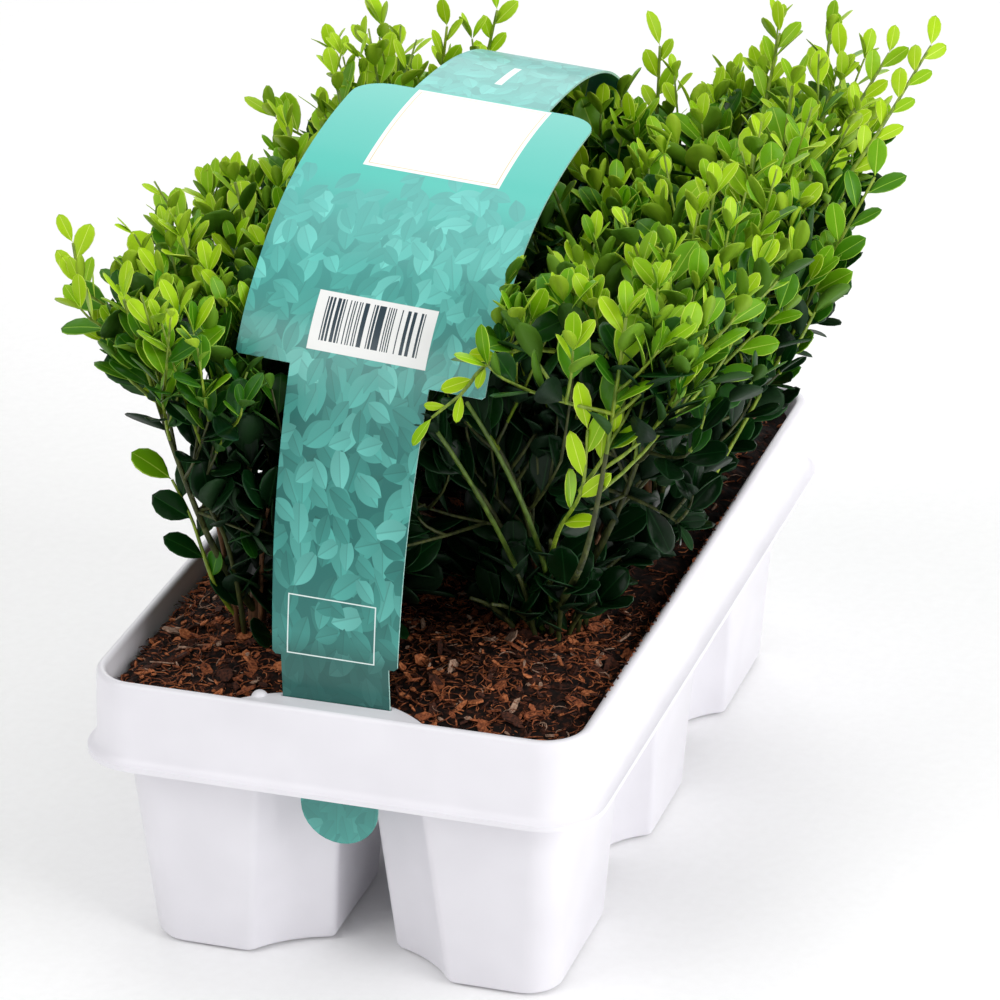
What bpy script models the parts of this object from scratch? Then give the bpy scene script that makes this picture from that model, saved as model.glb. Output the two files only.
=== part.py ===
"""Six young box-leaved holly shrubs in one moulded six-cell tray, with a label strap over them.

Units are metres and +Z is up. The tray's short side lies along X and its long side along Y.
The origin is on the ground under the middle of the whole object's box.
"""

import math
import random

import bmesh
import bpy
import numpy as np
from mathutils import Matrix, Vector

# Space kept between two pieces that touch on the real object
GAP = 0.0003

# Tray: outer size, then heights above the ground
TRAY_WIDTH = 0.180
TRAY_LENGTH = 0.306
TRAY_HEIGHT = 0.104
FLANGE_BOTTOM = 0.0737
FLANGE_TOP = 0.0755
WEB_BOTTOM = 0.0905
WEB_TOP = 0.0920
TRAY_CORNER = 0.020
CORNER_STEPS = 5
# The collar from its flange to its lip, the hollow under it and the basin, as (inset, height)
COLLAR_PROFILE = (
    (0.0, FLANGE_BOTTOM), (0.0, FLANGE_TOP), (0.0012, 0.0763), (0.0028, 0.0775),
    (0.0034, 0.0800), (0.0042, 0.0990), (0.0048, 0.1020), (0.0060, 0.1036), (0.0070, TRAY_HEIGHT),
)
UNDERSIDE_PROFILE = ((0.0049, 0.0600), (0.0058, WEB_BOTTOM))
BASIN_INSET = 0.0090
BASIN_CORNER = 0.0152
BASIN_PROFILE = ((BASIN_INSET, WEB_TOP), (0.0078, 0.1010), (0.0074, 0.1030), (0.0071, 0.1060))

# Cells: two across and three deep, measured at the web and at the foot
CELL_COLUMNS = (-1, 1)
CELL_ROWS = (-1, 0, 1)
CELL_REACH_X = 0.0790
CELL_REACH_Y = 0.1420
CELL_SPACING = 0.0060
OUTER_DRAFT = 0.0070
INNER_DRAFT = 0.0080
CELL_CORNER = 0.012
CELL_WALL = 0.0012
CELL_FLOOR = 0.0014
FOOT_BEVEL = 0.0025
END_SCOOP = (0.024, 0.017)
SIDE_SCOOP = (0.014, 0.018)
MIDDLE_SCOOP = (0.014, 0.014)
SCOOP_BOW = 0.0025
# Walls end a little under the web's top, and the spaces in them pass it
WALL_TOP = WEB_TOP - 0.0004
SPACE_TOP = WEB_TOP + 0.0040

# Raised seats for the strap in the middle of both short sides
SEAT_HALF_WIDTH = 0.0336
SEAT_OUTER_Y = 0.1477
SEAT_BACK = 0.0013
SEAT_DEPTH = 0.0130
SEAT_FULLNESS = 2.6
SEAT_BOTTOM = WEB_TOP - 0.0006
SEAT_TOP = 0.1031
SEAT_STEP = 0.0955
SEAT_EDGE_STEPS = 12
# Heights between which the slots and the compost's room for the seats are cut
SLOT_LOW = 0.0800
SLOT_HIGH = 0.1100
SLOT_OVERLAP = 0.0010
SEAT_ROOM = (0.0890, 0.1150)

# Compost
COMPOST_EDGE = 0.0972
COMPOST_MOUND = 0.0035
FRONT_RIGHT_MOUND = 0.0075
# Each mound's rings as (share of the cell's plan, share of the mound's height)
MOUND_RINGS = ((0.80, 0.60), (0.42, 1.0))
RIPPLE_HEIGHT = 0.0008
RIPPLE_WAVES = (97.0, 83.0)
RIPPLE_START = (1.3, 0.4)
SHARE_CORNER = 0.0015
SOCKET_DEPTH = 0.0080
SOCKET_CUT = 0.0300

# Strap: a stiff printed strip that stands in the two seats and arches over the crowns
STRAP_THICKNESS = 0.0008
STRAP_Y = 0.1390
TONGUE_RADIUS = 0.0135
TONGUE_LENGTH = 0.0230
NECK_HALF_WIDTH = 0.0185
BAND_FOOT_HALF_WIDTH = 0.0215
BAND_TOP_HALF_WIDTH = 0.0237
PANEL_HALF_WIDTH = 0.0425
PANEL_CORNER = 0.0120
ARCH_HALF_WIDTH = 0.0240
STRAP_TILT = 0.075
STRAP_SAMPLE = 0.0015
STRAP_STATION = 0.0140
STATION_LEAST = 0.0025
STATION_START = 0.0260
SLOPE_REACH = 0.0010
WIDTH_STEP = 0.0004
TONGUE_TIP_SHARE = 0.12
PANEL_NICK = 0.0020
PANEL_NICK_RUN = 0.0040
TILT_RISE = 0.0700
BAND_FOOT_Z = 0.1185
STRAP_FOOT_Z = FLANGE_BOTTOM - TONGUE_LENGTH
# The strip's own curve seen from the side, as (y, z) of its middle line from front to back
STRAP_CURVE = (
    (-STRAP_Y, STRAP_FOOT_Z), (-STRAP_Y, FLANGE_TOP), (-STRAP_Y, TRAY_HEIGHT),
    (-0.1385, 0.1250), (-0.1290, 0.1650), (-0.1085, 0.2070), (-0.0860, 0.2290),
    (-0.0560, 0.2450), (-0.0200, 0.2530), (0.0200, 0.2550), (0.0650, 0.2510),
    (0.1000, 0.2400), (0.1240, 0.2190), (0.1370, 0.1850), (0.1410, 0.1480),
    (STRAP_Y, 0.1200), (STRAP_Y, TRAY_HEIGHT), (STRAP_Y, FLANGE_TOP), (STRAP_Y, STRAP_FOOT_Z),
)
PANEL_START_Y = -0.1085
PANEL_END_Y = 0.0200

# Plants: foot of each stem on the compost, in the order of the cells
STEM_FEET = {
    (-1, -1): (-0.046, -0.090), (1, -1): (0.050, -0.064),
    (-1, 0): (-0.044, -0.004), (1, 0): (0.060, 0.024),
    (-1, 1): (-0.042, 0.092), (1, 1): (0.046, 0.100),
}
STEM_FOOT_RADIUS = 0.0034
STEM_RADIUS = 0.0025
STEM_TIP_RADIUS = 0.0017
STEM_SHARES = (0.0, 0.45, 0.62, 0.80, 1.0)
STEM_TAPER = 0.9
STEM_BOW_START = 0.45
STEM_BOW_POWER = 1.3
FORK_HEIGHT = 0.030
FORK_LEAN = 0.22
BOUGH_REACH = (0.62, 0.80)
BOUGH_BEND = (0.004, 0.012)
BOUGH_RADIUS = 0.0014
BOUGH_TIP_RADIUS = 0.0010
BOUGH_OFFSET = 0.0004
BOUGH_DROP = 0.0020
TWIG_RADIUS = 0.0011
TWIG_TIP_RADIUS = 0.0006

# Crown: how far the foliage reaches at its low edge and at its top
CROWN_LOW = 0.112
CROWN_TOP_LEFT = 0.247
CROWN_TOP_RIGHT = 0.268
REACH_LOW = (-0.072, 0.084, 0.118)
REACH_TOP = (-0.112, 0.144, 0.160)
REACH_HEIGHT = 0.236
CROWN_SQUARENESS = 4.0

# Foliage masses: each stands on a stem or on a bough, inside its own share of the crown
OUTER_MASS_X = (-0.068, 0.088)
INNER_MASS_X = (-0.020, 0.032)
ROW_SPACING = 0.094
OUTER_MASS_STEP = 0.024
MASS_MID_HEIGHT = 0.190
MASS_START_HEIGHT = 0.147
OUTER_LEAN = 1.08
END_LEAN = 1.07
TIP_DEPTH = 0.012
UNDER_STRAP = 0.022
LEADER_BEND = 0.042
MASS_MARGIN = 0.0006
LEAVES_OUTER = 18
LEAVES_INNER = 15
SIDE_TWIGS = 6
TWIG_LENGTH = (0.030, 0.050)
LEAF_LENGTH = (0.036, 0.046)
LEAF_WIDTH = 0.56
LEAF_THICKNESS = 0.0011
LEAF_WIDEST = 0.58
LEAF_ROOT = 0.0002
GOLDEN_ANGLE = math.pi * (3.0 - math.sqrt(5.0))
LIMB_MARGIN = 0.0046
LIMB_GAP = GAP + 0.0001
STRAP_MARGIN = 0.0046
LEAF_SPACING = 0.0055
LEAF_TRIES = 14
LEAF_LAYERS = 9
TIP_PLACE = 0.985
FIRST_PLACE = 0.03
GOLDEN_SHARE = 0.618
LEADER_BARE = 0.30
TWIG_BARE = 0.25
TWIG_SHARES = (0.16, 0.90)
TWIG_TRIES = 8
TWIG_TESTS = (0.35, 0.6, 0.8, 1.0)
TWIG_SHORTER = 0.06
TWIG_LIFT = 0.18
LEAF_SHORTER = 0.012
FLAT_ANGLE = math.radians(0.5)
UP = Vector((0.0, 0.0, 1.0))

for old in list(bpy.data.objects):
    bpy.data.objects.remove(old, do_unlink=True)


def material(name, colour, roughness, metallic=0.0):
    """A plain finish for one kind of part."""
    finish = bpy.data.materials.new(name)
    finish.use_nodes = True
    shader = finish.node_tree.nodes["Principled BSDF"]
    shader.inputs["Base Color"].default_value = (*colour, 1.0)
    shader.inputs["Roughness"].default_value = roughness
    shader.inputs["Metallic"].default_value = metallic
    return finish


WHITE_PLASTIC = material("white moulded polypropylene", (0.80, 0.79, 0.83), 0.38)
TEAL_PLASTIC = material("printed teal strap", (0.05, 0.42, 0.35), 0.30)
COMPOST = material("bark and coir compost", (0.055, 0.022, 0.010), 0.95)
BARK = material("young holly bark", (0.16, 0.12, 0.05), 0.75)
FOLIAGE = material("box-leaved holly leaves", (0.10, 0.30, 0.03), 0.42)


def add_object(name, bm, finish, smooth=False):
    """Turn a bmesh into a named object with one material."""
    bmesh.ops.triangulate(bm, faces=bm.faces[:])
    mesh = bpy.data.meshes.new(name)
    bm.to_mesh(mesh)
    bm.free()
    mesh.materials.append(finish)
    if smooth:
        mesh.shade_smooth()
        mesh.set_sharp_from_angle(angle=math.radians(35))
    piece = bpy.data.objects.new(name, mesh)
    bpy.context.collection.objects.link(piece)
    return piece


def loft(loops):
    """A closed solid through anticlockwise loops of equal length, from the lowest to the highest."""
    bm = bmesh.new()
    rings = [[bm.verts.new(point) for point in loop] for loop in loops]
    count = len(rings[0])
    for lower, upper in zip(rings, rings[1:]):
        for i in range(count):
            j = (i + 1) % count
            bm.faces.new((lower[i], lower[j], upper[j], upper[i]))
    bm.faces.new(rings[0][::-1])
    bm.faces.new(rings[-1])
    return bm


def apply_boolean(piece, operation, cutters, solver="EXACT"):
    """Apply one Boolean over a collection of solids and remove the solids."""
    group = bpy.data.collections.new(piece.name + " solids")
    bpy.context.scene.collection.children.link(group)
    for cutter in cutters:
        bpy.context.collection.objects.unlink(cutter)
        group.objects.link(cutter)
    step = piece.modifiers.new("join", "BOOLEAN")
    step.operation = operation
    step.operand_type = "COLLECTION"
    step.collection = group
    step.solver = solver
    graph = bpy.context.evaluated_depsgraph_get()
    joined = bpy.data.meshes.new_from_object(piece.evaluated_get(graph))
    piece.modifiers.clear()
    piece.data = joined
    for cutter in cutters:
        bpy.data.objects.remove(cutter, do_unlink=True)
    bpy.data.collections.remove(group)
    return piece


def outline(box, corners, z):
    """The plan of a cell or plug at one height; each corner is round or scooped."""
    x0, x1, y0, y1 = box
    turns = ((x0, y0, 1, 1), (x1, y0, -1, 1), (x1, y1, -1, -1), (x0, y1, 1, -1))
    loop = []
    for index, ((cx, cy, sx, sy), corner) in enumerate(zip(turns, corners)):
        points = []
        for step in range(CORNER_STEPS):
            t = step / (CORNER_STEPS - 1)
            if isinstance(corner, tuple):
                bow = SCOOP_BOW * 4 * t * (1 - t)
                dx = corner[0] * (1 - t)
                dy = corner[1] * t
                lean = math.hypot(*corner)
                points.append((cx + sx * (dx + bow * corner[1] / lean),
                               cy + sy * (dy + bow * corner[0] / lean), z))
            else:
                angle = math.pi / 2 * t
                points.append((cx + sx * corner * (1 - math.sin(angle)),
                               cy + sy * corner * (1 - math.cos(angle)), z))
        loop += points if index % 2 else points[::-1]
    return loop


def rectangle(inset, z, radius=TRAY_CORNER):
    """The tray's rounded outline, inset evenly from the flange's edge."""
    hx = TRAY_WIDTH / 2 - inset
    hy = TRAY_LENGTH / 2 - inset
    return outline((-hx, hx, -hy, hy), (radius - inset * 0.5,) * 4, z)


def cell_box(column, row, z):
    """The outer faces of one cell at a height, with their draft."""
    rise = z / WEB_TOP
    outer = OUTER_DRAFT * (1 - rise)
    inner = INNER_DRAFT * (1 - rise)
    length = (2 * CELL_REACH_Y - 2 * CELL_SPACING) / 3
    near, far = CELL_SPACING / 2 + inner, CELL_REACH_X - outer
    x0, x1 = (near, far) if column > 0 else (-far, -near)
    y0 = -CELL_REACH_Y + (row + 1) * (length + CELL_SPACING)
    y1 = y0 + length
    return (x0, x1, y0 + (outer if row < 0 else inner), y1 - (outer if row > 0 else inner))


def shrink(box, inset):
    """A box drawn in evenly."""
    return (box[0] + inset, box[1] - inset, box[2] + inset, box[3] - inset)


def cell_corners(column, row, inset=0.0):
    """Round at the tray's own corners and scooped everywhere else."""
    corners = []
    for sx, sy in ((-1, -1), (1, -1), (1, 1), (-1, 1)):
        if sx == column and sy == row:
            corners.append(CELL_CORNER - inset)
            continue
        scoop = MIDDLE_SCOOP
        if sx == column:
            scoop = SIDE_SCOOP
        elif sy == row:
            scoop = END_SCOOP
        a, b = scoop
        keep = 1 + inset * (math.hypot(1 / a, 1 / b) - 1 / a - 1 / b)
        corners.append((a * keep, b * keep))
    return corners


def cell_solid(column, row, inset, levels):
    """One tapered cell, or the space inside it, through the given heights."""
    loops = []
    for z, tuck in levels:
        box = shrink(cell_box(column, row, z), inset + tuck)
        loops.append(outline(box, cell_corners(column, row, inset), z))
    return loft(loops)


def seat_solid(side, grow, bottom, top):
    """The half-round seat that the strap stands in, on the front or back rim."""
    half = SEAT_HALF_WIDTH + grow
    loops = []
    for z in (bottom, top):
        edge = []
        for i in range(SEAT_EDGE_STEPS + 1):
            x = -half + 2 * half * i / SEAT_EDGE_STEPS
            swell = 1 - abs(x / half) ** SEAT_FULLNESS
            edge.append((x, side * (SEAT_OUTER_Y - SEAT_BACK - grow - SEAT_DEPTH * swell), z))
        edge += [(half, side * SEAT_OUTER_Y, z), (-half, side * SEAT_OUTER_Y, z)]
        loops.append(edge[::side])
    return loft(loops)


def box_solid(x0, x1, y0, y1, z0, z1):
    """A plain block between two corners."""
    bm = bmesh.new()
    middle = Vector(((x0 + x1) / 2, (y0 + y1) / 2, (z0 + z1) / 2))
    size = Vector((x1 - x0, y1 - y0, z1 - z0))
    bmesh.ops.create_cube(bm, size=1.0, matrix=Matrix.Translation(middle) @ Matrix.Diagonal(size.to_4d()))
    return bm


def make_tray():
    """Collar with its rolled lip and flange, six hollow cells and the two strap seats."""
    tray = add_object("tray", loft([rectangle(i, z) for i, z in COLLAR_PROFILE]), WHITE_PLASTIC)
    for profile in (UNDERSIDE_PROFILE, BASIN_PROFILE):
        hollow = add_object("hollow", loft([rectangle(i, z) for i, z in profile]), WHITE_PLASTIC)
        apply_boolean(tray, "DIFFERENCE", [hollow])
    walls = []
    spaces = []
    for column in CELL_COLUMNS:
        for row in CELL_ROWS:
            outer = ((0.0, FOOT_BEVEL), (FOOT_BEVEL, 0.0), (WALL_TOP, 0.0))
            inner = ((CELL_FLOOR, FOOT_BEVEL), (CELL_FLOOR + FOOT_BEVEL, 0.0), (SPACE_TOP, 0.0))
            walls.append(add_object("wall", cell_solid(column, row, 0.0, outer), WHITE_PLASTIC))
            spaces.append(add_object("space", cell_solid(column, row, CELL_WALL, inner), WHITE_PLASTIC))
    apply_boolean(tray, "UNION", walls)
    apply_boolean(tray, "DIFFERENCE", spaces)
    seats = [add_object("seat", seat_solid(side, 0.0, SEAT_BOTTOM, SEAT_TOP), WHITE_PLASTIC) for side in (-1, 1)]
    apply_boolean(tray, "UNION", seats, "MANIFOLD")
    slots = []
    half = STRAP_THICKNESS / 2 + GAP
    wide = NECK_HALF_WIDTH + 2 * GAP
    thin = TONGUE_RADIUS + 2 * GAP
    for side in (-1, 1):
        y0, y1 = sorted((side * STRAP_Y - half, side * STRAP_Y + half))
        slots.append(add_object("slot", box_solid(-wide, wide, y0, y1, SEAT_STEP, SLOT_HIGH), WHITE_PLASTIC))
        lower = box_solid(-thin, thin, y0, y1, SLOT_LOW, SEAT_STEP + SLOT_OVERLAP)
        slots.append(add_object("slot", lower, WHITE_PLASTIC))
    apply_boolean(tray, "DIFFERENCE", slots, "MANIFOLD")


def compost_height(x, y, mound):
    """Uneven top of the compost in one cell."""
    across = math.sin(RIPPLE_WAVES[0] * x + RIPPLE_START[0])
    along = math.cos(RIPPLE_WAVES[1] * y + RIPPLE_START[1])
    return COMPOST_EDGE + mound + RIPPLE_HEIGHT * across * along


def cell_number(column, row):
    """Cells are numbered from the front, left before right."""
    return 1 + (row + 1) * 2 + (column + 1) // 2


def make_compost(column, row):
    """The plug of compost that fills one cell and meets its neighbours over the web."""
    inset = CELL_WALL + GAP
    corners = cell_corners(column, row, inset)
    foot = CELL_FLOOR + GAP
    loops = []
    for z, tuck in ((foot, FOOT_BEVEL), (foot + FOOT_BEVEL, 0.0), (WEB_TOP + GAP, 0.0)):
        loops.append(outline(shrink(cell_box(column, row, z), inset + tuck), corners, z))
    half_x = TRAY_WIDTH / 2 - BASIN_INSET - GAP
    half_y = TRAY_LENGTH / 2 - BASIN_INSET - GAP
    third = 2 * half_y / 3
    x0, x1 = (GAP / 2, half_x) if column > 0 else (-half_x, -GAP / 2)
    y0 = -half_y + (row + 1) * third
    share = (x0, x1, y0 + (GAP / 2 if row > -1 else 0), y0 + third - (GAP / 2 if row < 1 else 0))
    corners = []
    for sx, sy in ((-1, -1), (1, -1), (1, 1), (-1, 1)):
        corners.append(BASIN_CORNER if sx == column and sy == row else SHARE_CORNER)
    loops.append(outline(share, corners, WEB_TOP + GAP))
    loops.append(outline(share, corners, COMPOST_EDGE))
    edge = loops[-1]
    mid = Vector(((share[0] + share[1]) / 2, (share[2] + share[3]) / 2))
    mound = FRONT_RIGHT_MOUND if (column, row) == (1, -1) else COMPOST_MOUND
    for keep, rise in MOUND_RINGS:
        ring = []
        for x, y, _ in edge:
            px = mid.x + (x - mid.x) * keep
            py = mid.y + (y - mid.y) * keep
            ring.append((px, py, compost_height(px, py, mound * rise)))
        loops.append(ring)
    name = f"compost_{cell_number(column, row)}"
    plug = add_object(name, loft(loops), COMPOST)
    foot_x, foot_y = STEM_FEET[(column, row)]
    bm = bmesh.new()
    bottom = stem_foot_z() - GAP
    bmesh.ops.create_cone(bm, cap_ends=True, segments=12, radius1=STEM_FOOT_RADIUS + 2 * GAP,
                          radius2=STEM_FOOT_RADIUS + 2 * GAP, depth=SOCKET_CUT,
                          matrix=Matrix.Translation((foot_x, foot_y, bottom + SOCKET_CUT / 2)))
    cutters = [add_object("socket", bm, COMPOST)]
    if row:
        cutters.append(add_object("seat room", seat_solid(row, 2 * GAP, *SEAT_ROOM), COMPOST))
    return apply_boolean(plug, "DIFFERENCE", cutters)


def stem_foot_z():
    """Every stem stands in a socket of the compost at this height."""
    return COMPOST_EDGE - SOCKET_DEPTH + GAP


def smooth_path(points, spacing):
    """A Catmull-Rom curve through the points, sampled at an even spacing."""
    pts = [np.array(p, float) for p in points]
    pts = [2 * pts[0] - pts[1]] + pts + [2 * pts[-1] - pts[-2]]
    dense = []
    for a, b, c, d in zip(pts, pts[1:], pts[2:], pts[3:]):
        for t in np.linspace(0, 1, 24, endpoint=False):
            dense.append(0.5 * (2 * b + (c - a) * t + (2 * a - 5 * b + 4 * c - d) * t ** 2
                                + (3 * b - a - 3 * c + d) * t ** 3))
    dense.append(pts[-2])
    dense = np.array(dense)
    run = np.concatenate([[0], np.cumsum(np.linalg.norm(np.diff(dense, axis=0), axis=1))])
    count = max(2, round(run[-1] / spacing) + 1)
    even = np.linspace(0, run[-1], count)
    return np.stack([np.interp(even, run, dense[:, k]) for k in range(dense.shape[1])], 1), even


def strap_line():
    """The strap's middle line with the distance along it, finely sampled."""
    return smooth_path(STRAP_CURVE, STRAP_SAMPLE)


def strap_marks():
    """Distances along the strap where its width changes."""
    line, run = strap_line()
    y, z = line[:, 0], line[:, 1]
    front = y < 0
    return {
        "seat": run[front & (z < SEAT_STEP + GAP)][-1],
        "band": run[front & (z < BAND_FOOT_Z)][-1],
        "panel": run[y < PANEL_START_Y][-1],
        "arch": run[y < PANEL_END_Y][-1],
        "band back": run[~front & (z > BAND_FOOT_Z)][-1],
        "seat back": run[~front & (z > SEAT_STEP + GAP)][-1],
        "end": run[-1],
    }


def strap_stations():
    """Pairs of distance along the strap and half-width, with a pair at each side of a step."""
    m = strap_marks()
    step = WIDTH_STEP
    tongue = [(TONGUE_RADIUS * (1 - math.cos(a)), TONGUE_RADIUS * max(math.sin(a), TONGUE_TIP_SHARE))
              for a in np.linspace(0.0, math.pi / 2, 6)]
    corner = [(PANEL_CORNER * (1 - math.sin(a)), PANEL_CORNER * (1 - math.cos(a)))
              for a in np.linspace(0.0, math.pi / 2, 5)]
    front = list(tongue)
    front += [(m["seat"], TONGUE_RADIUS), (m["seat"] + step, NECK_HALF_WIDTH)]
    front += [(m["band"], NECK_HALF_WIDTH), (m["band"] + step, BAND_FOOT_HALF_WIDTH)]
    front += [(m["panel"], BAND_TOP_HALF_WIDTH), (m["panel"] + step, PANEL_HALF_WIDTH - PANEL_NICK)]
    front += [(m["panel"] + PANEL_NICK_RUN, PANEL_HALF_WIDTH)]
    front += [(m["arch"] - d, PANEL_HALF_WIDTH - w) for d, w in corner]
    front += [(m["arch"] + step, ARCH_HALF_WIDTH)]
    back = [(m["band back"], BAND_FOOT_HALF_WIDTH), (m["band back"] + step, NECK_HALF_WIDTH)]
    back += [(m["seat back"], NECK_HALF_WIDTH), (m["seat back"] + step, TONGUE_RADIUS)]
    back += [(m["end"] - d, w) for d, w in tongue[::-1]]
    return front + back


def strap_half_width(distance):
    """The strap's half-width at a distance along it."""
    stations = strap_stations()
    return np.interp(distance, [s for s, _ in stations], [w for _, w in stations])


def strap_tilt(z):
    """The strip leans down to the right where it lies on the crowns."""
    return STRAP_TILT * min(max((z - TRAY_HEIGHT) / TILT_RISE, 0.0), 1.0)


def make_strap():
    """The whole strap as one thin closed strip."""
    line, run = strap_line()
    known = {round(s, 6) for s, _ in strap_stations()}
    even = {round(s, 6) for s in np.arange(STATION_START, run[-1] - STATION_START, STRAP_STATION)}
    places = sorted(known | even)
    kept = [places[0]]
    for place in places[1:]:
        if place - kept[-1] > STATION_LEAST or (place in known and kept[-1] in known):
            kept.append(place)
        elif place in known:
            kept[-1] = place
    loops = []
    for place in kept:
        y = np.interp(place, run, line[:, 0])
        z = np.interp(place, run, line[:, 1])
        ahead = np.array([np.interp(place + SLOPE_REACH, run, line[:, k]) for k in range(2)])
        behind = np.array([np.interp(place - SLOPE_REACH, run, line[:, k]) for k in range(2)])
        along = (ahead - behind) / np.linalg.norm(ahead - behind)
        out = np.array([-along[1], along[0]]) * STRAP_THICKNESS / 2
        width = float(strap_half_width(place))
        lean = strap_tilt(z)
        loop = []
        for sx, so in ((-1, 1), (1, 1), (1, -1), (-1, -1)):
            x = sx * width
            loop.append((x, y + so * out[0], z + so * out[1] - lean * x))
        loops.append(loop)
    return add_object("strap", loft(loops), TEAL_PLASTIC)


def frame_along(points):
    """Two cross directions at each point of a path, carried along without twist."""
    points = [Vector(p) for p in points]
    tangents = []
    for i in range(len(points)):
        a = points[max(i - 1, 0)]
        b = points[min(i + 1, len(points) - 1)]
        tangents.append((b - a).normalized())
    side = tangents[0].orthogonal().normalized()
    frames = []
    for tangent in tangents:
        side = (side - tangent * side.dot(tangent)).normalized()
        frames.append((side, tangent.cross(side)))
    return frames


def tube(points, radii, sides):
    """A tapering limb with flat ends."""
    loops = []
    for point, radius, (side, across) in zip(points, radii, frame_along(points)):
        loop = []
        for k in range(sides):
            angle = 2 * math.pi * k / sides
            loop.append(Vector(point) + side * radius * math.cos(angle) + across * radius * math.sin(angle))
        loops.append(loop)
    return loft(loops)


def bend(start, middle, end, count):
    """A quadratic curve from start to end that leans towards middle."""
    start, middle, end = (np.array(p, float) for p in (start, middle, end))
    ts = np.linspace(0, 1, count)[:, None]
    return (1 - ts) ** 2 * start + 2 * ts * (1 - ts) * middle + ts ** 2 * end


def reach(value, low, top, z):
    """A crown limit at a height, between its low edge and its top."""
    t = min(max((z - CROWN_LOW) / (REACH_HEIGHT - CROWN_LOW), 0.0), 1.0)
    return low[value] + (top[value] - low[value]) * math.sin(math.pi / 2 * t)


def crown_top(x, y):
    """Height of the crown's top: higher at the back and on the right."""
    t = min(max((x - REACH_TOP[0]) / (REACH_TOP[1] - REACH_TOP[0]), 0.0), 1.0)
    back = min(max((y + 0.15) / 0.30, 0.0), 1.0)
    return CROWN_TOP_LEFT + (CROWN_TOP_RIGHT - CROWN_TOP_LEFT) * (0.55 * t + 0.45 * back)


def in_crown(p):
    """Whether a point lies inside the crown's own outline."""
    x, y, z = p
    if z < CROWN_LOW or z > crown_top(x, y):
        return False
    side = x / reach(1, REACH_LOW, REACH_TOP, z) if x > 0 else x / reach(0, REACH_LOW, REACH_TOP, z)
    deep = abs(y) / reach(2, REACH_LOW, REACH_TOP, z)
    return abs(side) ** CROWN_SQUARENESS + deep ** CROWN_SQUARENESS < 1.0


def mass_table():
    """Each mass: its name, the plant it grows on, its middle, its start and its tip."""
    rows = []
    for row in CELL_ROWS:
        for column in CELL_COLUMNS:
            number = cell_number(column, row)
            mid_y = row * ROW_SPACING
            outer_x = OUTER_MASS_X[(column + 1) // 2]
            inner_x = INNER_MASS_X[(column + 1) // 2]
            places = ((outer_x, mid_y - OUTER_MASS_STEP), (outer_x, mid_y + OUTER_MASS_STEP),
                      (inner_x, mid_y))
            for letter, (x, y) in zip("abc", places):
                rows.append((f"{number}{letter}", (column, row), letter, x, y))
    return rows


MASSES = mass_table()
SITES = np.array([(x, y, MASS_MID_HEIGHT) for _, _, _, x, y in MASSES])
LIMBS = []


def in_share(points, index):
    """Whether all points are nearer to this mass's middle than to any other's."""
    points = np.asarray(points, float)
    own = SITES[index]
    for other, site in enumerate(SITES):
        if other == index:
            continue
        between = site - own
        size = np.linalg.norm(between)
        along = (points - (own + site) / 2) @ (between / size)
        if along.max() > -MASS_MARGIN:
            return False
    return True


def clear_of_limbs(points, margin):
    """Whether all points keep their distance from every stem and bough."""
    points = np.asarray(points, float)
    for path, radii in LIMBS:
        a, b = path[:-1], path[1:]
        d = b - a
        rel = points[:, None, :] - a[None]
        t = np.clip((rel * d).sum(2) / (d * d).sum(1), 0, 1)
        gap = np.linalg.norm(rel - t[..., None] * d, axis=2)
        if (gap - np.maximum(radii[:-1], radii[1:])).min() < margin:
            return False
    return True


STRAP_LINE, STRAP_RUN = strap_line()
STRAP_WIDTHS = np.array([strap_half_width(s) for s in STRAP_RUN])


def clear_of_strap(points, margin):
    """Whether all points keep their distance from the strap."""
    for x, y, z in np.asarray(points, float):
        upright = z + strap_tilt(z) * x
        off = np.hypot(STRAP_LINE[:, 0] - y, STRAP_LINE[:, 1] - upright)
        side = np.maximum(np.abs(x) - STRAP_WIDTHS, 0.0)
        if np.hypot(off, side).min() < margin:
            return False
    return True


def leaf_solid(root, direction, normal, length, width):
    """One pointed oval leaf of eight faces, thickest at its widest place."""
    across = direction.cross(normal).normalized()
    up = across.cross(direction).normalized()
    middle = root + direction * length * LEAF_WIDEST
    bm = bmesh.new()
    edge = [bm.verts.new(root),
            bm.verts.new(middle - across * width / 2),
            bm.verts.new(root + direction * length - up * length * 0.06),
            bm.verts.new(middle + across * width / 2)]
    top = bm.verts.new(middle + up * LEAF_THICKNESS / 2 - direction * length * 0.12)
    low = bm.verts.new(middle - up * LEAF_THICKNESS / 2 - direction * length * 0.12)
    for i in range(4):
        bm.faces.new((edge[i], edge[(i + 1) % 4], top))
        bm.faces.new((edge[(i + 1) % 4], edge[i], low))
    bmesh.ops.recalc_face_normals(bm, faces=bm.faces[:])
    return bm


def leaf_samples(root, direction, normal, length, width):
    """Points spread over a leaf from root to tip, to test it against its neighbours."""
    across = direction.cross(normal).normalized()
    points = []
    for t in (0.15, 0.38, LEAF_WIDEST, 0.8, 1.0):
        spread = width / 2 * max(0.0, 1 - abs(t - LEAF_WIDEST) / 0.5)
        for s in (-1, -0.4, 0.4, 1):
            points.append(root + direction * length * t + across * spread * s)
    return points


def along_path(path, t):
    """Point and heading at a share of a path."""
    run = np.concatenate([[0], np.cumsum(np.linalg.norm(np.diff(path, axis=0), axis=1))])
    at = t * run[-1]
    point = np.array([np.interp(at, run, path[:, k]) for k in range(3)])
    k = min(int(np.searchsorted(run, at, side="right")) - 1, len(path) - 2)
    heading = path[k + 1] - path[k]
    return Vector(point), Vector(heading).normalized()


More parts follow.
